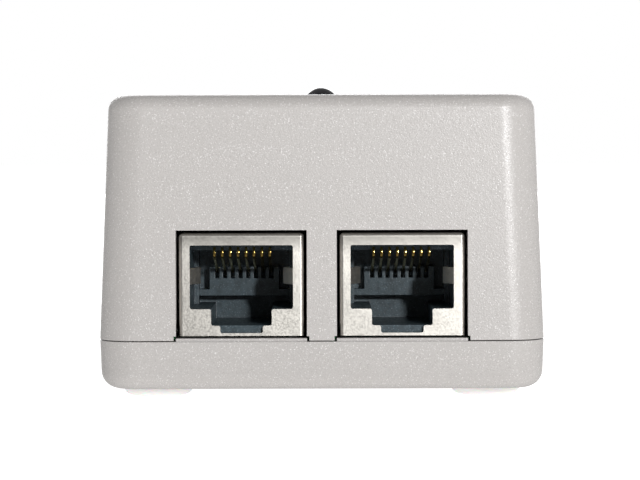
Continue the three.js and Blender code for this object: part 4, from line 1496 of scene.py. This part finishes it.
@dataclass
class PowerSupply:
    """The circuit board and what stands on it."""

    edge: float = 0.2 * MM
    shoulder: float = 0.9 * MM
    can_foot: float = 0.4 * MM
    crimp_place: float = 0.125
    rim_width: float = 1.4
    rim_end: float = 1.6
    vent_reach: float = 1.1
    can_step: float = 0.25 * MM
    crimp_steps: int = 8
    shoulder_steps: int = 6
    vent_width: float = 0.5 * MM
    vent_depth: float = 0.45 * MM
    winding_turns: int = 15
    winding_spread: float = math.radians(130)
    wire: float = 0.5 * MM
    wire_gap: float = 0.05 * MM
    ring_corner: float = 0.4 * MM
    turn_corner: float = 0.9 * MM
    ring_steps: int = 64
    plain: dict[str, Finish] = field(
        default_factory=lambda: {
            "main_board": BOARD_LAMINATE,
            "insulation_sheet": INSULATION_FILM,
            "x2_capacitor": FILM_BOX,
            "mains_fuse": EPOXY,
            "bridge_rectifier": EPOXY,
            "primary_heatsink": HEATSINK_ALUMINIUM,
            "switching_transistor": EPOXY,
            "transformer_core": FERRITE,
            "transformer_winding": WINDING_TAPE,
            "pwm_controller": EPOXY,
            "poe_controller": EPOXY,
            "output_choke": FERRITE,
            "output_heatsink": HEATSINK_ALUMINIUM,
            "output_rectifier": EPOXY,
            "optocoupler": EPOXY,
            "data_magnetics": EPOXY,
            "power_magnetics": EPOXY,
        }
    )

    def capacitor(self, node: str) -> None:
        """Builds an electrolytic capacitor, with its crimp and the scored vent in its top.

        Args:
            node: of the capacitor.
        """
        low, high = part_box(node)
        at = middle_of(node)
        radius = (high.x - low.x) / 2
        crimp = (high.z - low.z) * self.crimp_place
        profile = [(0, low.z), (radius - self.can_foot, low.z), (radius, low.z + self.can_foot)]
        profile.append((radius, low.z + crimp))
        for step in range(1, self.crimp_steps):
            share = step / self.crimp_steps
            pinch = self.shoulder * math.sin(share * math.pi)
            profile.append((radius - pinch, low.z + crimp + share * 2 * self.shoulder))
        profile.append((radius, low.z + crimp + 2 * self.shoulder))
        for sine, cosine in quarter_turn(self.shoulder_steps):
            profile.append((radius - self.shoulder * (1 - cosine), high.z - self.shoulder * (1 - sine)))
        sunk = high.z - self.can_step
        profile.append((radius - self.rim_width * self.shoulder, high.z))
        profile += [(radius - self.rim_end * self.shoulder, sunk), (0, sunk)]
        score = (high.z - self.vent_depth, high.z + BEYOND)
        vents = Solid.crossed(at, self.vent_reach * radius, self.vent_width, score)
        whole = Solid.turned(profile, at, 64).minus(*vents)
        whole.piece(node + "_can", CAPACITOR_SLEEVE, [node])

    def choke(self) -> None:
        """Builds the common mode choke: a ferrite ring with a winding on each half."""
        low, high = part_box("common_mode_choke")
        middle = middle_of("common_mode_choke")
        thickness = (high.y - low.y) / 2
        ring_radius = (high.z - low.z) / 2 - thickness
        core_half = thickness - 1.5 * self.wire
        across = (-core_half, core_half)
        section = rounded_outline(rectangle(across, across), self.ring_corner, 3)
        rings = []
        for step in range(self.ring_steps):
            angle = step * math.tau / self.ring_steps
            point = middle + ring_radius * Vector((math.cos(angle), 0, math.sin(angle)))
            out = (point - middle).normalized()
            rings.append([point + Vector((0, u, 0)) + out * v for u, v in section])
        Solid.lofted(rings, endless=True).piece("choke_ring", FERRITE, ["common_mode_choke"])
        reach = core_half + self.wire / 2 + self.wire_gap
        turn = rounded_outline(rectangle((-reach, reach), (-reach, reach)), self.turn_corner, 4)
        for half, start in (("line", -1), ("neutral", 1)):
            self.winding(half, start, middle, ring_radius, turn)

    def winding(self, half: str, side: int, middle: Vector, ring_radius: float, turn: Outline) -> None:
        """Builds the winding on one half of the choke's ring.

        Args:
            half: the conductor's name.
            side: -1 for the left half and 1 for the right.
            middle: of the ring.
            ring_radius: to the middle of the ring's section.
            turn: the outline that one turn follows around the ring.
        """
        count = self.winding_turns * len(turn)
        points = []
        for index in range(count):
            angle = (math.pi if side < 0 else 0) + self.winding_spread * (index / (count - 1) - 0.5)
            out = Vector((math.cos(angle), 0, math.sin(angle)))
            across, deep = turn[index % len(turn)]
            points.append(middle + out * (ring_radius + deep) + Vector((0, across, 0)))
        curve = bpy.data.curves.new("winding_" + half, "CURVE")
        curve.dimensions = "3D"
        curve.bevel_depth = self.wire / 2
        curve.bevel_resolution = 2
        curve.use_fill_caps = True
        spline = curve.splines.new("POLY")
        spline.points.add(len(points) - 1)
        for spot, point in zip(spline.points, points):
            spot.co = (*point, 1)
        temporary = in_scene("winding", curve)
        wound = Solid.baked(temporary)
        bpy.data.objects.remove(temporary)
        wound.piece(half + "_winding", COPPER_WINDING)

    def build(self) -> None:
        """Dresses the plain parts and builds the capacitors and the choke."""
        for node, finish in self.plain.items():
            keep_node(node, finish, self.edge)
        for node in ("bulk_capacitor", "output_capacitor_1", "output_capacitor_2"):
            self.capacitor(node)
        self.choke()


# --------------------------------------------------------------------------------------------------
# Studio
# --------------------------------------------------------------------------------------------------


@dataclass
class Studio:
    """A pale floor, soft light and the camera."""

    floor_size: float = 12
    floor_tone: float = 0.85
    floor_roughness: float = 0.9
    floor_glow: float = 0.78
    front_level: float = 0.06
    back_level: float = 0.5
    front_edge: float = -0.93
    back_edge: float = 0
    back_power: float = 16
    back_size: float = 1.2
    back_distance: float = 1.5
    back_height: float = 0.3
    key_power: float = 5.0
    key_size: float = 0.045
    key_distance: float = 0.8
    key_azimuth: float = math.radians(22)
    key_elevation: float = math.radians(13)
    lens: float = 134.1
    camera_side: float = -0.21 * MM
    camera_back: float = 301 * MM
    camera_height: float = 31.6 * MM
    camera_tilt: float = math.radians(2.08)
    camera_roll: float = math.radians(-0.18)

    def floor(self) -> None:
        """Lays the floor that the injector stands on."""
        half = self.floor_size / 2
        mesh = bpy.data.meshes.new("floor")
        corners = [(x, y, 0) for x, y in rectangle((-half, half), (-half, half))]
        mesh.from_pydata(corners, [], [(0, 1, 2, 3)])
        laid = in_scene("floor", mesh)
        graph = Graph("floor_paint")
        graph.set("Base Color", (self.floor_tone, self.floor_tone, self.floor_tone, 1))
        graph.set("Roughness", self.floor_roughness)
        graph.set("Emission Color", (1, 1, 1, 1))
        graph.set("Emission Strength", self.floor_glow)
        mesh.materials.append(graph.material)
        # The floor fills the shadows softly, and doesn't mirror in glossy pieces.
        laid.visible_glossy = False
        laid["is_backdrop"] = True

    def sky(self) -> None:
        """Lights the room softly from its sides and back, in front of a white backdrop."""
        world = bpy.data.worlds.new("studio")
        bpy.context.scene.world = world
        world.use_nodes = True
        tree = world.node_tree
        background = tree.nodes["Background"]
        place = tree.nodes.new("ShaderNodeTexCoord")
        parts = tree.nodes.new("ShaderNodeSeparateXYZ")
        level = tree.nodes.new("ShaderNodeMapRange")
        span = (self.front_edge, self.front_level, self.back_edge, self.back_level)
        for name, number in zip(("From Min", "To Min", "From Max", "To Max"), span):
            level.inputs[name].default_value = number
        tree.links.new(place.outputs["Generated"], parts.inputs["Vector"])
        tree.links.new(parts.outputs["Y"], level.inputs["Value"])
        seen = tree.nodes.new("ShaderNodeLightPath")
        brighter = tree.nodes.new("ShaderNodeMath")
        brighter.operation = "MAXIMUM"
        tree.links.new(level.outputs["Result"], brighter.inputs[0])
        tree.links.new(seen.outputs["Is Camera Ray"], brighter.inputs[1])
        tree.links.new(brighter.outputs["Value"], background.inputs["Strength"])
        background.inputs["Color"].default_value = (1, 1, 1, 1)

    def lamp(self, name: str, power: float, size: float, place: Vector) -> None:
        """Hangs a square lamp that faces the injector.

        Args:
            name: of the lamp.
            power: in watts.
            size: of its side.
            place: of its middle.
        """
        light = bpy.data.lights.new(name, "AREA")
        light.energy = power
        light.size = size
        hung = in_scene(name, light)
        hung.location = place
        aim = Vector((0, 0, CAD_HIGH.z / 2)) - place
        hung.rotation_euler = aim.to_track_quat("-Z", "Y").to_euler()

    def lamps(self) -> None:
        """Hangs the small key lamp, in front and to the right, and a large soft one behind."""
        out = Vector(
            (
                math.sin(self.key_azimuth) * math.cos(self.key_elevation),
                -math.cos(self.key_azimuth) * math.cos(self.key_elevation),
                math.sin(self.key_elevation),
            )
        )
        key_place = Vector((0, CAD_LOW.y, CAD_HIGH.z / 2)) + self.key_distance * out
        self.lamp("key", self.key_power, self.key_size, key_place)
        back_place = Vector((0, self.back_distance, self.back_height))
        self.lamp("soft_back", self.back_power, self.back_size, back_place)

    def camera(self) -> None:
        """Places the camera in front of the sockets."""
        data = bpy.data.cameras.new("camera")
        data.lens = self.lens
        data.dof.use_dof = False
        view = in_scene("camera", data)
        tilt = Matrix.Rotation(math.pi / 2 - self.camera_tilt, 4, "X")
        turn = tilt @ Matrix.Rotation(self.camera_roll, 4, "Z")
        place = Matrix.Translation((self.camera_side, CAD_LOW.y - self.camera_back, self.camera_height))
        view.matrix_world = place @ turn
        bpy.context.scene.camera = view

    def build(self) -> None:
        """Sets up the room, the light and the camera."""
        self.floor()
        self.sky()
        self.lamps()
        self.camera()
        bpy.context.scene.view_settings.view_transform = "Standard"


def check_finishes() -> None:
    """Stops the script if a shown piece still has a plain material of the frame."""
    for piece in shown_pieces():
        names = [material.name for material in piece.data.materials if material]
        if not names or not all(name.endswith(FINISH_SUFFIX) for name in names):
            raise ValueError(f"{piece.name} has no finish of its own: {names}")


def main() -> None:
    """Builds every sub-assembly in order."""
    logging.basicConfig(level=logging.INFO, format="%(name)s: %(message)s")
    builders: list[Callable[[], None]] = [Studio().build, CaseShell().build]
    builders += [FootAndScrew(corner).build for corner in CORNERS]
    builders.append(RatingLabel().build)
    builders.append(JackSocket("data", Body.DATA_CONTACTS).build)
    builders.append(JackSocket("power", Body.POWER_CONTACTS).build)
    builders += [MainsInlet().build, Indicator().build, PowerSupply().build]
    for build in builders:
        build()
    check_finishes()


if __name__ == "__main__":
    main()
